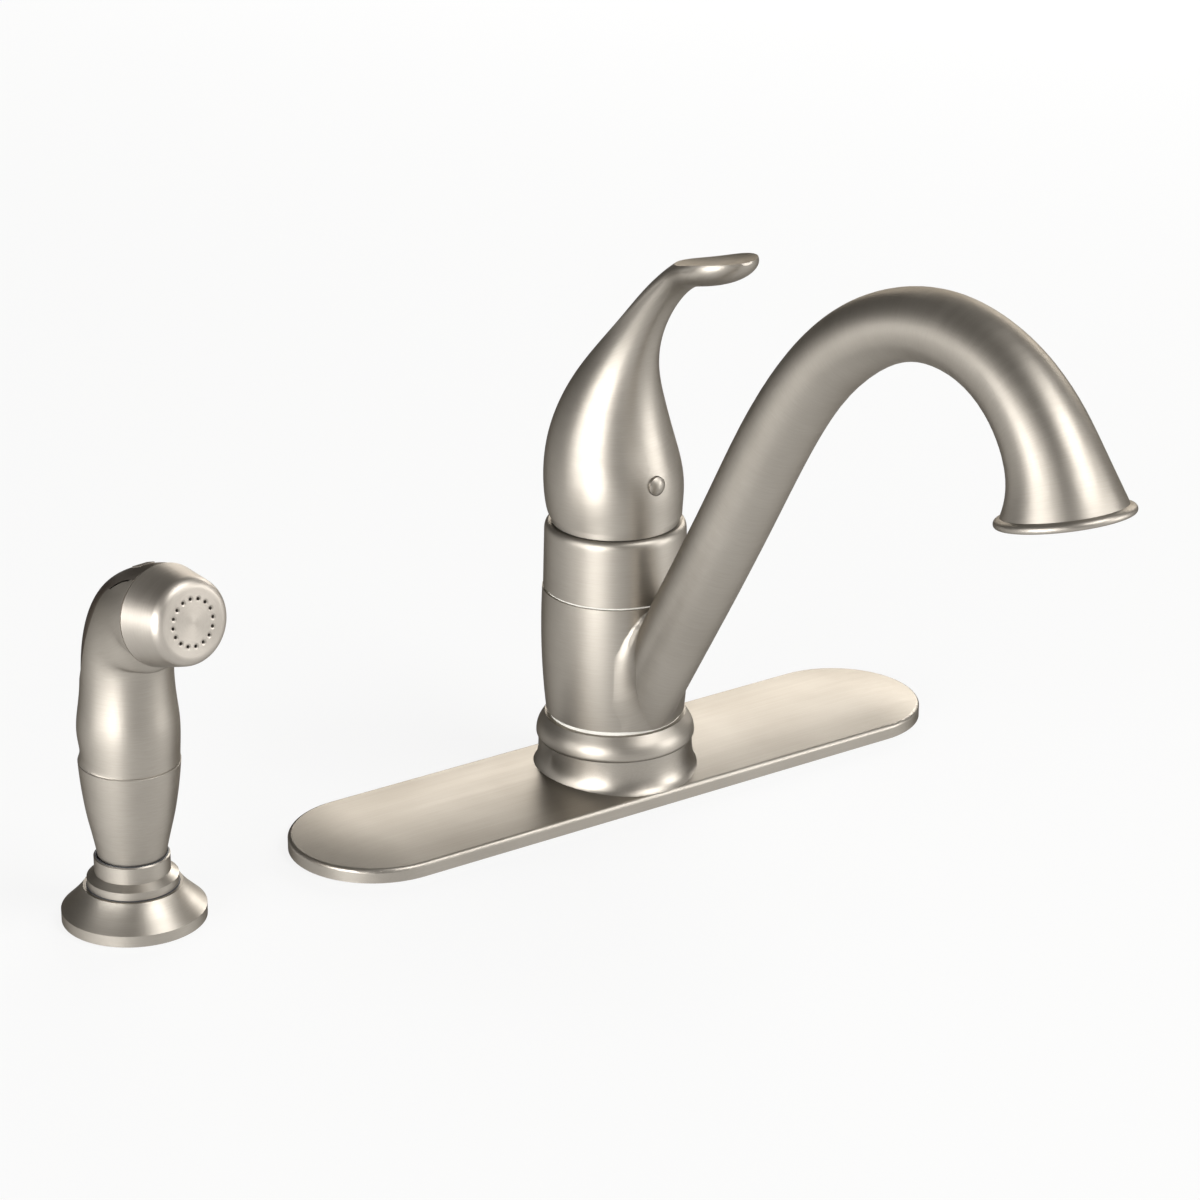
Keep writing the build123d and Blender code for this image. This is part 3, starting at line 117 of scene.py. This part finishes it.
def strokes_round(tree, centre, axis):
    """Stroke and place for brushing that runs round an axis."""
    arm = add(tree, "VectorMath", {"operation": "SUBTRACT"}, {1: centre}, {0: place_of(tree)})
    across = add(tree, "VectorMath", {"operation": "CROSS_PRODUCT"}, {0: axis}, {1: arm})
    stroke = add(tree, "VectorMath", {"operation": "NORMALIZE"}, links={0: across})
    radius = add(tree, "VectorMath", {"operation": "LENGTH"}, links={0: across}).outputs["Value"]
    along = add(tree, "VectorMath", {"operation": "DOT_PRODUCT"}, {1: axis}, {0: arm}).outputs["Value"]
    step = add(tree, "Math", {"operation": "SUBTRACT"}, links={0: along, 1: radius})
    return stroke, scratch_place(tree, stroke, step, axis)


def scratch_place(tree, slow_direction, step, axis):
    """Place that changes quickly with the step and slowly with a direction."""
    count = add(tree, "Math", {"operation": "DIVIDE"}, {1: SCRATCH}, {0: step})
    quick = add(tree, "VectorMath", {"operation": "SCALE"}, {0: axis}, {"Scale": count})
    slow = add(tree, "VectorMath", {"operation": "SCALE"}, {"Scale": SLOW}, {0: slow_direction})
    return add(tree, "VectorMath", {"operation": "ADD"}, links={0: quick, 1: slow})


print("scratches", round(SCRATCH / MM, 2), "mm wide")


# %% [markdown]
# ### The straight plate
# A belt that runs along the plate leaves strokes of some centimetres. The place is simply
# squeezed along the belt and stretched across it.

# %% Strokes along the plate
STROKE_LENGTH = 30 * MM


def strokes_along(tree, direction):
    """Stroke and place for brushing in one straight direction."""
    point = place_of(tree)
    stroke = add(tree, "CombineXYZ", values={0: direction[0], 1: direction[1], 2: direction[2]})
    scale = [1 / STROKE_LENGTH if part else 1 / SCRATCH for part in direction]
    place = add(tree, "VectorMath", {"operation": "MULTIPLY"}, {1: scale}, {0: point})
    return stroke, place


print("plate strokes", round(STROKE_LENGTH / MM), "mm long")


# %% [markdown]
# ### The bent spout
# The spout's centre line is a straight leg and three arcs. At every point the material
# asks which run it is on, and takes the direction and the distance along that run. The
# stroke is square both to that direction and to the surface. Near the faucet's axis the
# same piece is a turned hub, so there the strokes go round the axis instead.

# %% Strokes round the spout
LEG_START = Vector((0, 0, 8.35 * MM))
LEG_RISE = math.radians(58.1)
LEG_LENGTH = 186.0 * MM
ARCS = (   # radius and turn of each arc after the leg
    (139.6 * MM, math.radians(27.7)),
    (75.0 * MM, math.radians(42.8)),
    (55.2 * MM, math.radians(64.0)),
)
HUB_RADIUS = 27.6 * MM
RING_GRAIN = (0, 0.8, 0.6)             # any fixed direction out of level, to spread the noise


def heading_at(rise):
    """Direction of the centre line where it rises by an angle."""
    return Vector((0, -math.cos(rise), math.sin(rise)))


def crown_at(rise):
    """Direction square to the heading, out of the arcs."""
    return Vector((0, math.sin(rise), math.cos(rise)))


def dot(tree, direction, vector):
    """How far a vector reaches along a fixed direction."""
    node = add(tree, "VectorMath", {"operation": "DOT_PRODUCT"}, {1: direction}, {0: vector})
    return node.outputs["Value"]


def switch(tree, chooser, first, second, kind):
    """First where the chooser is 0, second where it is 1."""
    from_socket, to_socket, result = {"FLOAT": (2, 3, 0), "VECTOR": (4, 5, 1)}[kind]
    links = {0: chooser, from_socket: first, to_socket: second}
    return add(tree, "Mix", {"data_type": kind}, links=links).outputs[result]


def strokes_on_spout(tree):
    """Stroke and place for brushing round the bent tube and round its hub."""
    point = place_of(tree)
    rise, corner, run = LEG_RISE, LEG_START, 0.0
    heading = heading_at(rise)
    direction = add(tree, "CombineXYZ", values={1: heading.y, 2: heading.z}).outputs[0]
    from_corner = add(tree, "VectorMath", {"operation": "SUBTRACT"}, {1: corner}, {0: point})
    distance = dot(tree, heading, from_corner)
    corner = corner + heading * LEG_LENGTH
    run += LEG_LENGTH
    for radius, turn in ARCS:
        centre = corner - crown_at(rise) * radius
        heading = heading_at(rise)
        arm = add(tree, "VectorMath", {"operation": "SUBTRACT"}, {1: centre}, {0: point})
        forward, upward = dot(tree, heading, arm), dot(tree, crown_at(rise), arm)
        angle = add(tree, "Math", {"operation": "ARCTAN2"}, links={0: forward, 1: upward})
        length = add(tree, "Math", {"operation": "MULTIPLY_ADD"}, {1: radius, 2: run}, {0: angle})
        way = add(tree, "VectorMath", {"operation": "CROSS_PRODUCT"}, {0: (1, 0, 0)}, {1: arm})
        way = add(tree, "VectorMath", {"operation": "NORMALIZE"}, links={0: way})
        from_corner = add(tree, "VectorMath", {"operation": "SUBTRACT"}, {1: corner}, {0: point})
        ahead = dot(tree, heading, from_corner)
        beyond = add(tree, "Math", {"operation": "GREATER_THAN"}, {1: 0.0}, {0: ahead})
        direction = switch(tree, beyond, direction, way, "VECTOR")
        distance = switch(tree, beyond, distance, length, "FLOAT")
        rise -= turn
        run += radius * turn
        corner = centre + crown_at(rise) * radius
    normal = add(tree, "TexCoord").outputs["Normal"]
    stroke = add(tree, "VectorMath", {"operation": "CROSS_PRODUCT"}, links={0: direction, 1: normal})
    stroke = add(tree, "VectorMath", {"operation": "NORMALIZE"}, links={0: stroke})
    place = scratch_place(tree, stroke, distance, RING_GRAIN)
    hub_stroke, hub_place = strokes_round(tree, (0, 0, 0), (0, 0, 1))
    level = add(tree, "VectorMath", {"operation": "MULTIPLY"}, {1: (1, 1, 0)}, {0: point})
    level = add(tree, "VectorMath", {"operation": "LENGTH"}, links={0: level}).outputs["Value"]
    outside = add(tree, "Math", {"operation": "GREATER_THAN"}, {1: HUB_RADIUS}, {0: level})
    stroke = switch(tree, outside, hub_stroke, stroke, "VECTOR")
    return stroke, switch(tree, outside, hub_place, place, "VECTOR")


centre_line = LEG_LENGTH + sum(radius * turn for radius, turn in ARCS)
print("spout centre line", round(centre_line / MM), "mm long")


# %% [markdown]
# ## Brushed nickel
# Satin nickel is bright metal with belt scratches. The scratches make the surface rougher
# across themselves than along, which is the shader's anisotropy, turned a quarter because
# the tangent given here is the stroke itself. Three sizes of noise do the rest: single
# scratches, faint bands a few millimetres wide where the belt pressed harder, and soft
# patches where the plating took a little warmer. The metal keeps its default IOR.

# %% Brushed nickel from any stroke
BAND = 6.0                      # a band is this many scratches wide
PATCH = 30 * MM                 # size of a warmer patch
SPECK = 0.7 * MM                # size of a grain in blasted metal
RELIEF = 0.01 * MM              # depth of the scratches
SCRATCH_WEIGHT = 0.9            # share of the scratches in the tone, beside the patches
ROUGH_CHANGE = 0.02             # how far the roughness wanders either way
SMEAR = 0.4                     # how much the scratches smear a highlight
QUARTER_TURN = 0.25
EDGE_TINT = linear("#5E5E60")   # the plating is darker where it is seen edge on


def noise(tree, scale, detail, place, roughness=0.5):
    """Value of a noise texture at a place."""
    values = {"Scale": scale, "Detail": detail, "Roughness": roughness}
    return add(tree, "TexNoise", values=values, links={"Vector": place}).outputs["Fac"]


def weighted(tree, first, weight, second):
    """First times its weight, plus second."""
    return add(tree, "Math", {"operation": "MULTIPLY_ADD"}, {1: weight}, {0: first, 2: second})


def tone_between(tree, deep, pale, value, low, high):
    """Colour between two hex colours, as a value runs from low to high."""
    tone = add(tree, "MapRange", values={1: low, 2: high}, links={0: value})
    ends = {6: linear(deep), 7: linear(pale)}
    return add(tree, "Mix", {"data_type": "RGBA"}, ends, {0: tone}).outputs[2]


def brushed_nickel(name, strokes, pale="#A9A39A", deep="#9C968D", rough=0.46, grain=0.0):
    """Plated and belt-brushed metal with its scratches along the given strokes."""
    material, tree = new_material(name)
    stroke, place = strokes(tree)
    scratch = noise(tree, 1.0, 3.0, place, 0.65)
    wide = add(tree, "VectorMath", {"operation": "SCALE"}, {"Scale": 1 / BAND}, {0: place})
    band = noise(tree, 1.0, 1.0, wide)
    patch = noise(tree, 1 / PATCH, 2.0, place_of(tree))
    mixed = weighted(tree, scratch, SCRATCH_WEIGHT, patch)
    colour = tone_between(tree, deep, pale, mixed, 0.6, 1.3)
    smooth, coarse = rough - ROUGH_CHANGE, rough + ROUGH_CHANGE
    ground = add(tree, "MapRange", values={1: 0.25, 2: 0.75, 3: smooth, 4: coarse}, links={0: band})
    relief = scratch
    if grain:
        speck = noise(tree, 1 / SPECK, 2.0, place_of(tree))
        relief = weighted(tree, speck, grain, scratch)
    strength = {"Strength": 0.12 + 0.5 * grain, "Distance": RELIEF}
    bump = add(tree, "Bump", values=strength, links={"Height": relief})
    spaces = {"vector_type": "VECTOR", "convert_from": "OBJECT", "convert_to": "WORLD"}
    tangent = add(tree, "VectorTransform", spaces, links={0: stroke})
    fixed = {"Metallic": 1.0, "Anisotropic": SMEAR, "Anisotropic Rotation": QUARTER_TURN,
             "Specular Tint": EDGE_TINT}
    metal = add(tree, "BsdfPrincipled", values=fixed,
                links={"Base Color": colour, "Roughness": ground, "Normal": bump, "Tangent": tangent})
    add(tree, "OutputMaterial", links={0: metal})
    return material


def dress(material, *names):
    """Give CAD nodes their material."""
    for name in names:
        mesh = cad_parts[name].data
        mesh.materials.clear()
        mesh.materials.append(material)
    print(material.name, "on", len(names), "pieces")


print("patches", round(PATCH / MM), "mm, bands", round(BAND * SCRATCH / MM, 1), "mm wide")


# %% [markdown]
# ### Each brushed piece and its axis
# The hub, the collar and the base ring were brushed on a lathe about the upright axis. The
# plate was brushed lengthwise. The wand stands turned and tilted in its holder, so its
# axis is worked out from those two angles, and the nozzle's axis from the head's tilt.

# %% The wand's axis and the nozzle's axis
SPRAY_FOOT = Vector((-203.2 * MM, 0, 19 * MM))
WAND_TILT = Matrix.Rotation(math.radians(6.8), 3, "Z") @ Matrix.Rotation(math.radians(1.75), 3, "X")
NOZZLE_TILT = math.radians(9.15)
BEND_RADIUS = 26.5 * MM
BEND_START = 94.3 * MM
wand_axis = WAND_TILT @ Vector((0, 0, 1))
nozzle_axis = WAND_TILT @ Vector((0, -math.cos(NOZZLE_TILT), math.sin(NOZZLE_TILT)))
bend = math.pi / 2 - NOZZLE_TILT
neck_height = BEND_START + BEND_RADIUS * math.sin(bend) - SPRAY_FOOT.z
neck_end = Vector((0, -BEND_RADIUS * (1 - math.cos(bend)), neck_height))
nozzle_root = SPRAY_FOOT + WAND_TILT @ neck_end
print("nozzle looks along", [round(part, 3) for part in nozzle_axis])

# %% Nickel for each way of brushing
UPRIGHT = (0, 0, 1)


def turned(centre, axis):
    """Strokes of a piece turned about an axis."""
    return lambda tree: strokes_round(tree, centre, axis)


def belted(tree):
    """Strokes that run along the plate."""
    return strokes_along(tree, (1, 0, 0))


turned_nickel = brushed_nickel("satin_nickel_turned", turned((0, 0, 0), UPRIGHT))
spout_nickel = brushed_nickel("satin_nickel_spout", strokes_on_spout)
plate_nickel = brushed_nickel("satin_nickel_plate", belted, rough=0.40)
holder_nickel = brushed_nickel("satin_nickel_holder", turned(SPRAY_FOOT, UPRIGHT),
                               rough=0.42, grain=0.8)
wand_nickel = brushed_nickel("satin_nickel_wand", turned(SPRAY_FOOT, wand_axis))
# the nozzle's paler tones are painted light, for the brighter light on the spray's face
nozzle_light_metal = brushed_nickel("satin_nickel_painted_light_nozzle", turned(nozzle_root, nozzle_axis),
                               pale="#B9B3AA", deep="#A9A299")
# the trigger's darker tones are painted shade, for the shade in its inset between the body's cheeks
trigger_shade_metal = brushed_nickel("satin_nickel_painted_shade_trigger", turned(SPRAY_FOOT, wand_axis),
                                pale="#948E86", deep="#847D76", rough=0.40)
dress(turned_nickel, "base_ring", "upper_collar", "handle_lever", "pivot_ring", "plug_button")
dress(spout_nickel, "spout", "spout_lip")
dress(plate_nickel, "deck_plate")
dress(holder_nickel, "spray_flange", "spray_sleeve")
dress(wand_nickel, "wand_grip", "wand_body")
dress(nozzle_light_metal, "nozzle_cap")
dress(trigger_shade_metal, "trigger_lever")

# %% [markdown]
# ## The works
# What lies inside and under the deck is plainer: machined brass with fine turning rings,
# cast zinc with a skin of tiny pits, stamped stainless steel, moulded rubber, acetal and
# polypropylene. One function covers them all, since each is a base colour with a second
# one in patches, a roughness that wanders, and a grain of a real size.

# %% One plain maker's finish
WANDER = 9 * MM        # size of the patches of another tone


def plain_finish(name, pale, deep, metallic, rough, grain_mm, relief_mm, across=None):
    """A cast, machined or moulded finish with its grain and its small changes of tone."""
    material, tree = new_material(name)
    place = place_of(tree)
    if across:
        place = add(tree, "VectorMath", {"operation": "MULTIPLY"}, {1: across}, {0: place})
    grain = noise(tree, 1 / (grain_mm * MM), 3.0, place)
    patch = noise(tree, 1 / WANDER, 2.0, place_of(tree))
    colour = tone_between(tree, deep, pale, weighted(tree, grain, 0.5, patch), 0.5, 1.0)
    smooth, coarse = rough * 0.85, rough * 1.15
    ground = add(tree, "MapRange", values={1: 0.3, 2: 0.7, 3: smooth, 4: coarse}, links={0: patch})
    strength = {"Strength": 0.4, "Distance": relief_mm * MM}
    bump = add(tree, "Bump", values=strength, links={"Height": grain})
    surface = add(tree, "BsdfPrincipled", values={"Metallic": metallic},
                  links={"Base Color": colour, "Roughness": ground, "Normal": bump})
    add(tree, "OutputMaterial", links={0: surface})
    return material


print("patches of the plain finishes", round(WANDER / MM), "mm")

# %% Brass, zinc, steel, rubber and plastics
TURNING = (0.05, 0.05, 1.0)   # turning rings: quick along the axis, slow round it
machined_brass = plain_finish("machined_brass", "#D9B56C", "#C29A50", 1.0, 0.28, 0.4, 0.02, TURNING)
cast_zinc = plain_finish("cast_zinc", "#A9A9A6", "#8E8E8C", 1.0, 0.5, 0.8, 0.05)
stainless_steel = plain_finish("stainless_steel", "#B9B7B2", "#A5A39F", 1.0, 0.3, 0.4, 0.02, TURNING)
black_rubber = plain_finish("black_rubber", "#26262A", "#17171A", 0.0, 0.62, 0.5, 0.03)
white_acetal = plain_finish("white_acetal", "#E9E7E0", "#DDDAD2", 0.0, 0.38, 0.6, 0.01)
grey_polypropylene = plain_finish("grey_polypropylene", "#6E7073", "#5F6164", 0.0, 0.5, 0.5, 0.02)
jet_plastic = plain_finish("grey_acetal_disc", "#A8A297", "#979186", 0.0, 0.45, 0.5, 0.02)
dress(machined_brass, "valve_body", "mounting_nut", "cartridge_stem", "cartridge_nut", "diverter_seat",
      "hose_connector", "hot_inlet_stub", "cold_inlet_stub", "spray_outlet_stub")
dress(cast_zinc, "handle_adapter")
dress(stainless_steel, "plate_stud_left", "plate_stud_right", "mounting_washer", "cartridge_clip",
      "hinge_pin", "handle_set_screw", "trigger_pin", "diverter_spring", "plunger_spring",
      "aerator_screen")
dress(black_rubber, "mounting_gasket", "lower_hub_seal", "upper_hub_seal", "cartridge_seal_lower",
      "cartridge_seal_upper", "aerator_gasket", "holder_gasket", "wand_joint_seal", "nozzle_gasket")
dress(white_acetal, "lower_glide_ring", "upper_glide_ring", "cartridge_shell", "diverter_poppet",
      "valve_seat", "spray_plunger", "aerator_shell")
dress(jet_plastic, "nozzle_disc")
dress(grey_polypropylene, "under_plate", "plate_nut_left", "plate_nut_right", "holder_nut")

# %% [markdown]
# ## What the solids leave plain
# Three small things are added as mesh: the soft blend at the root of the leg, two black
# rings of painted shade and the screw threads. Each is drawn face by face, and then becomes
# an object with one material.

# %% From drawn faces to an object
def make_object(name, work, material):
    """A new object in the scene from drawn faces and a material."""
    mesh = bpy.data.meshes.new(name)
    work.to_mesh(mesh)
    work.free()
    mesh.materials.append(material)
    thing = bpy.data.objects.new(name, mesh)
    bpy.context.collection.objects.link(thing)
    return thing


def make_smooth(work):
    """Faces that look outwards and shade as one round surface."""
    bmesh.ops.recalc_face_normals(work, faces=work.faces)
    for face in work.faces:
        face.smooth = True


print("mesh helpers ready")

# %% [markdown]
# ### The blend between leg and hub
# On the real casting the leg grows out of the hub in a soft hollow, wide at the sides,
# small under the leg and closed to almost nothing at the top. A foundry makes it with wax
# fillets, and a modeller thinks of a ball that rolls in the corner and touches both
# surfaces. For each angle round the leg the script searches along the leg for the place
# where the ball just touches the hub, and keeps the arc between the two touching points.
# The arcs together are one closed band that leaves both solids along their own surfaces,
# so it meets them without an edge. Its hidden side lies in the metal.

# %% A ball that rolls between leg and hub
LEG_RADII = ((26.0, 11.9), (60.0, 12.4), (100.0, 12.9))               # mm along the leg, radius
HUB_RADII = ((28.8, 25.6), (40.0, 26.6), (58.0, 27.3), (77.0, 26.8))  # mm above the deck, radius
BALLS = (                              # degrees round the leg from its side, ball radius in mm
    (-90, 6.0), (-75, 15.0), (-60, 26.0), (-45, 30.0), (-30, 24.0), (-15, 16.0), (0, 10.5),
    (15, 6.8), (30, 4.1), (45, 2.3), (60, 1.3), (75, 0.7), (90, 0.35),
)
FARTHEST, HALVINGS = 160.0, 40         # mm along the leg that the search covers, and its steps


def read_off(table, place):
    """Value between two entries of a table, held beyond its ends."""
    for (low, first), (high, second) in zip(table, table[1:]):
        if place < high:
            share = max(0.0, (place - low) / (high - low))
            return first + (second - first) * share
    return table[-1][1]


def ball_at(turn):
    """Middle, radius and way out of the ball that touches leg and hub at an angle round the leg."""
    along, over = heading_at(LEG_RISE), crown_at(LEG_RISE)
    out = math.cos(turn) * Vector((1, 0, 0)) + math.sin(turn) * over
    radius = read_off(BALLS, math.degrees(math.asin(math.sin(turn))))
    near, far = 0.0, FARTHEST
    for _ in range(HALVINGS):
        run = (near + far) / 2
        middle = LEG_START / MM + along * run + out * (read_off(LEG_RADII, run) + radius)
        if middle.xy.length < read_off(HUB_RADII, middle.z) + radius:
            near = run
        else:
            far = run
    return middle, radius, out


print("at the leg's side a ball of", ball_at(0.0)[1], "mm fits")

# %% The band of arcs
BLEND_TURNS, BLEND_STEPS = 144, 16
BLEND_CORNER = math.radians(35)        # edges sharper than this stay sharp
BLEND_ROOT = 1.5                       # how deep the band's hidden side lies in the metal
BLEND_LOW, BLEND_HIGH = 28.9, 76.9     # the hub's own ends
work = bmesh.new()
bands = []
for count in range(BLEND_TURNS):
    middle, radius, out = ball_at(2 * math.pi * count / BLEND_TURNS)
    to_leg, to_hub = -out, Vector((-middle.x, -middle.y, 0)).normalized()
    spokes = [to_leg.slerp(to_hub, step / BLEND_STEPS) for step in range(BLEND_STEPS + 1)]
    points = [middle + spoke * radius for spoke in spokes]
    points += [points[-1] + to_hub * BLEND_ROOT, points[0] + to_leg * BLEND_ROOT]
    bands.append([work.verts.new(point * MM) for point in points])
for band, following in zip(bands, bands[1:] + bands[:1]):
    for one in range(len(band)):
        two = (one + 1) % len(band)
        work.faces.new((band[one], band[two], following[two], following[one]))
for height, way in ((BLEND_LOW, -1), (BLEND_HIGH, 1)):
    whole = work.verts[:] + work.edges[:] + work.faces[:]
    cut = bmesh.ops.bisect_plane(work, geom=whole, plane_co=(0, 0, height * MM),
                                 plane_no=(0, 0, way), clear_outer=True)
    rim = [part for part in cut["geom_cut"] if isinstance(part, bmesh.types.BMEdge)]
    bmesh.ops.holes_fill(work, edges=rim)
make_smooth(work)
for edge in work.edges:
    edge.smooth = edge.calc_face_angle(0) < BLEND_CORNER
leg_blend = make_object("leg_blend", work, turned_nickel)
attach(leg_blend, "spout")
print("blend has", len(leg_blend.data.polygons), "faces")


# %% [markdown]
# ### Two black rings in the spray's holder
# A thin black ring lies under the sleeve, between it and the flange, and another round the
# sleeve's mouth. Both are painted shade: black rubber set in the two gaps, so that they show
# as fine black lines of shade. They are turned from a small oval profile.

# %% Turned rubber rings
RING_STEPS, PROFILE_STEPS = 96, 8


def shade_ring(name, place, radius, half_width, half_height):
    """Closed ring of oval section about an upright axis, in millimetres."""
    work = bmesh.new()
    sections = []
    for step in range(RING_STEPS):
        turn = 2 * math.pi * step / RING_STEPS
        section = []
        for part in range(PROFILE_STEPS):
            angle = 2 * math.pi * part / PROFILE_STEPS
            reach, rise = radius + half_width * math.cos(angle), half_height * math.sin(angle)
            point = place + Vector((reach * math.cos(turn), reach * math.sin(turn), rise))
            section.append(work.verts.new(point * MM))
        sections.append(section)
    for section, following in zip(sections, sections[1:] + sections[:1]):
        for one in range(PROFILE_STEPS):
            two = (one + 1) % PROFILE_STEPS
            work.faces.new((section[one], section[two], following[two], following[one]))
    make_smooth(work)
    ring = make_object(name, work, black_rubber)
    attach(ring, "deck")
    return ring


foot = SPRAY_FOOT / MM
# black rubber rings as painted shade in the holder's two gaps
rings = [shade_ring("sleeve_foot_ring", Vector((foot.x, 0, 12.7)), 15.6, 0.6, 0.35),
         shade_ring("sleeve_mouth_ring", Vector((foot.x, 0, 24.0)), 12.45, 0.35, 0.3)]
print(len(rings), "black shade rings")

# %% [markdown]
# ### Threads below the deck
# The shank, the two studs and the pipe stubs are screws on the real faucet. A thread is a
# ridge that climbs round a bar, so it is built as one: a small triangle is carried round
# the axis and up by one pitch a turn, and each position is joined to the last. The ridge
# covers only the length that shows below the nuts.

# %% A screw thread as a climbing ridge
TURN_STEPS = 40
ROOT = 0.1                            # mm that the ridge's foot lies in the bar
RIDGE_HALF, RIDGE_HIGH = 0.42, 0.35   # half width and height of the ridge, in pitches


def ridge(name, x, radius, pitch, low, high, material, body):
    """Triangular ridge of a screw thread round an upright bar."""
    work = bmesh.new()
    foot, crest = radius - ROOT, radius + RIDGE_HIGH * pitch
    profile = ((foot, -RIDGE_HALF * pitch), (crest, 0.0), (foot, RIDGE_HALF * pitch))
    last = None
    for step in range(int((high - low) / pitch * TURN_STEPS) + 1):
        turn = 2 * math.pi * step / TURN_STEPS
        height = low + pitch * step / TURN_STEPS
        corners = []
        for out, up in profile:
            point = (x + out * math.cos(turn), out * math.sin(turn), height + up)
            corners.append(work.verts.new(Vector(point) * MM))
        if last:
            for one, two in ((0, 1), (1, 2), (2, 0)):
                work.faces.new((last[one], corners[one], corners[two], last[two]))
        else:
            work.faces.new(corners)
        last = corners
    work.faces.new(reversed(last))
    bmesh.ops.recalc_face_normals(work, faces=work.faces)
    piece = make_object(name, work, material)
    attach(piece, body)
    return piece


STUDS = (("left", -101.6), ("right", 101.6))                         # side, mm from the middle
PIPES = (("hot", -10.4, -86.0), ("cold", 10.4, -86.0), ("spray", 0.0, -96.0))   # mm across, lower end
threads = [ridge("shank_thread", 0, 16.5, 2.0, -60.5, -38.0, machined_brass, "deck")]
for side, x in STUDS:
    name = "stud_thread_" + side
    threads.append(ridge(name, x, 3.0, 1.0, -41.0, -30.5, stainless_steel, "deck"))
for pipe, x, end in PIPES:
    low, high = end + 1.5, end + 14.0
    threads.append(ridge(pipe + "_thread", x, 4.6, 1.3, low, high, machined_brass, "deck"))
print(len(threads), "threads with", sum(len(thread.data.polygons) for thread in threads), "faces")

# %% [markdown]
# ## The sink deck, the room and the camera
# The faucet stands on a plain pale deck. A wide disc at the height of the sink's top is
# enough, and it fills the whole picture because the camera looks down on it. Its material
# is white paint that mostly glows to the camera, to gloss and to clear things, so that the
# background stays white and still takes a faint shadow of the faucet.

# %% A pale deck
DECK_RADIUS = 60.0     # metres, so wide that its edge is out of sight
DECK_GAP = 0.3 * MM    # below the gaskets, so that the faces don't share a plane
GLOW_SHARE = 0.85
paint, tree = new_material("pale_deck_paint")
ray = add(tree, "LightPath")
shown = ray.outputs["Is Camera Ray"]
for kind in ("Is Glossy Ray", "Is Transmission Ray"):
    shown = add(tree, "Math", {"operation": "MAXIMUM"}, links={0: shown, 1: ray.outputs[kind]})
share = add(tree, "Math", {"operation": "MULTIPLY"}, {1: GLOW_SHARE}, {0: shown})
white = add(tree, "BsdfDiffuse", values={"Color": linear("#CECECC")})
glow = add(tree, "Emission", values={"Color": (1, 1, 1, 1), "Strength": 1.0})
mixed = add(tree, "MixShader", links={0: share, 1: white, 2: glow})
add(tree, "OutputMaterial", links={0: mixed})
work = bmesh.new()
bmesh.ops.create_circle(work, cap_ends=True, segments=96, radius=DECK_RADIUS)
sink_deck = make_object("sink_deck", work, paint)
sink_deck.location.z = -DECK_GAP
sink_deck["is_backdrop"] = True
print("deck disc", DECK_RADIUS, "m in radius")

# %% [markdown]
# ### The light
# Satin metal has no sharp reflections, so its form shows only as broad bands of light and
# dark. Large soft boxes make the bands: a wide one at the left draws the bright edge along
# each round form, one behind lights the far sides, and two weaker ones at the front right
# fill the middle. A small one low at the left reaches the holder and the plate. Between
# them the studio is a dim grey, which gives the darker bands.

# %% A grey studio round it
world = bpy.data.worlds.new("studio")
world.use_nodes = True
tree = world.node_tree
tree.nodes.clear()
way = add(tree, "SeparateXYZ", links={0: add(tree, "TexCoord").outputs["Generated"]})
air = tone_between(tree, "#5A5856", "#6A6865", way.outputs["Z"], -0.1, 0.9)
backing = add(tree, "Background", values={"Strength": 1.0}, links={"Color": air})
add(tree, "OutputWorld", links={0: backing})
bpy.context.scene.world = world
print("the air is a dim grey, so that the lamps draw the forms")


# %% Soft boxes
def soft_box(name, place, target, width, depth, power):
    """A white studio lamp that looks at a point, with its sides in metres and its power in watts."""
    lamp = bpy.data.lights.new(name, "AREA")
    lamp.shape = "RECTANGLE"
    lamp.size, lamp.size_y = width, depth
    lamp.energy = power
    holder = bpy.data.objects.new(name, lamp)
    holder.location = place
    holder.rotation_mode = "QUATERNION"
    holder.rotation_quaternion = (Vector(target) - Vector(place)).to_track_quat("-Z", "Y")
    holder.visible_camera = False
    bpy.context.collection.objects.link(holder)


MIDDLE = (-0.05, -0.08, 0.10)
soft_box("key_left", (-2.0, -0.55, 0.44), MIDDLE, 2.3, 0.8, 55)
soft_box("fill_right", (1.55, -1.45, 0.40), MIDDLE, 1.0, 0.7, 18)
soft_box("front_high", (0.55, -1.40, 1.60), MIDDLE, 1.3, 1.1, 35)
soft_box("back_wall", (1.75, 1.45, 0.80), MIDDLE, 2.4, 0.8, 62)
soft_box("low_left", (-0.92, -0.42, 0.14), (-0.2, 0, 0.06), 0.34, 0.26, 2.6)
print(len(bpy.data.lights), "soft boxes")

# %% [markdown]
# ### The camera
# It stands about 1.5 m away, turned 35 degrees to the left of the spout and looking down
# by 22 degrees, with a long lens that keeps the plate's sides almost parallel.

# %% Camera
lens = bpy.data.cameras.new("camera")
lens.lens = 119.8
lens.sensor_width = 36.0
lens.clip_start, lens.clip_end = 0.01, 200.0
TURN, FALL = math.radians(34.91), math.radians(21.91)
camera = bpy.data.objects.new("camera", lens)
camera.location = (-781.90 * MM, -1110.59 * MM, 616.89 * MM)
level = Vector((-math.sin(TURN), -math.cos(TURN), 0))
back = level * math.cos(FALL) + Vector((0, 0, math.sin(FALL)))
camera.rotation_mode = "QUATERNION"
camera.rotation_quaternion = (-back).to_track_quat("-Z", "Y")
bpy.context.collection.objects.link(camera)
bpy.context.scene.camera = camera
bpy.context.scene.view_settings.view_transform = "Standard"
print("lens", round(lens.lens, 1), "mm")

# %% Sizes and the end
low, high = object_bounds()
print("dressed part spans", [round((b - a) / MM, 1) for a, b in zip(low, high)], "mm")
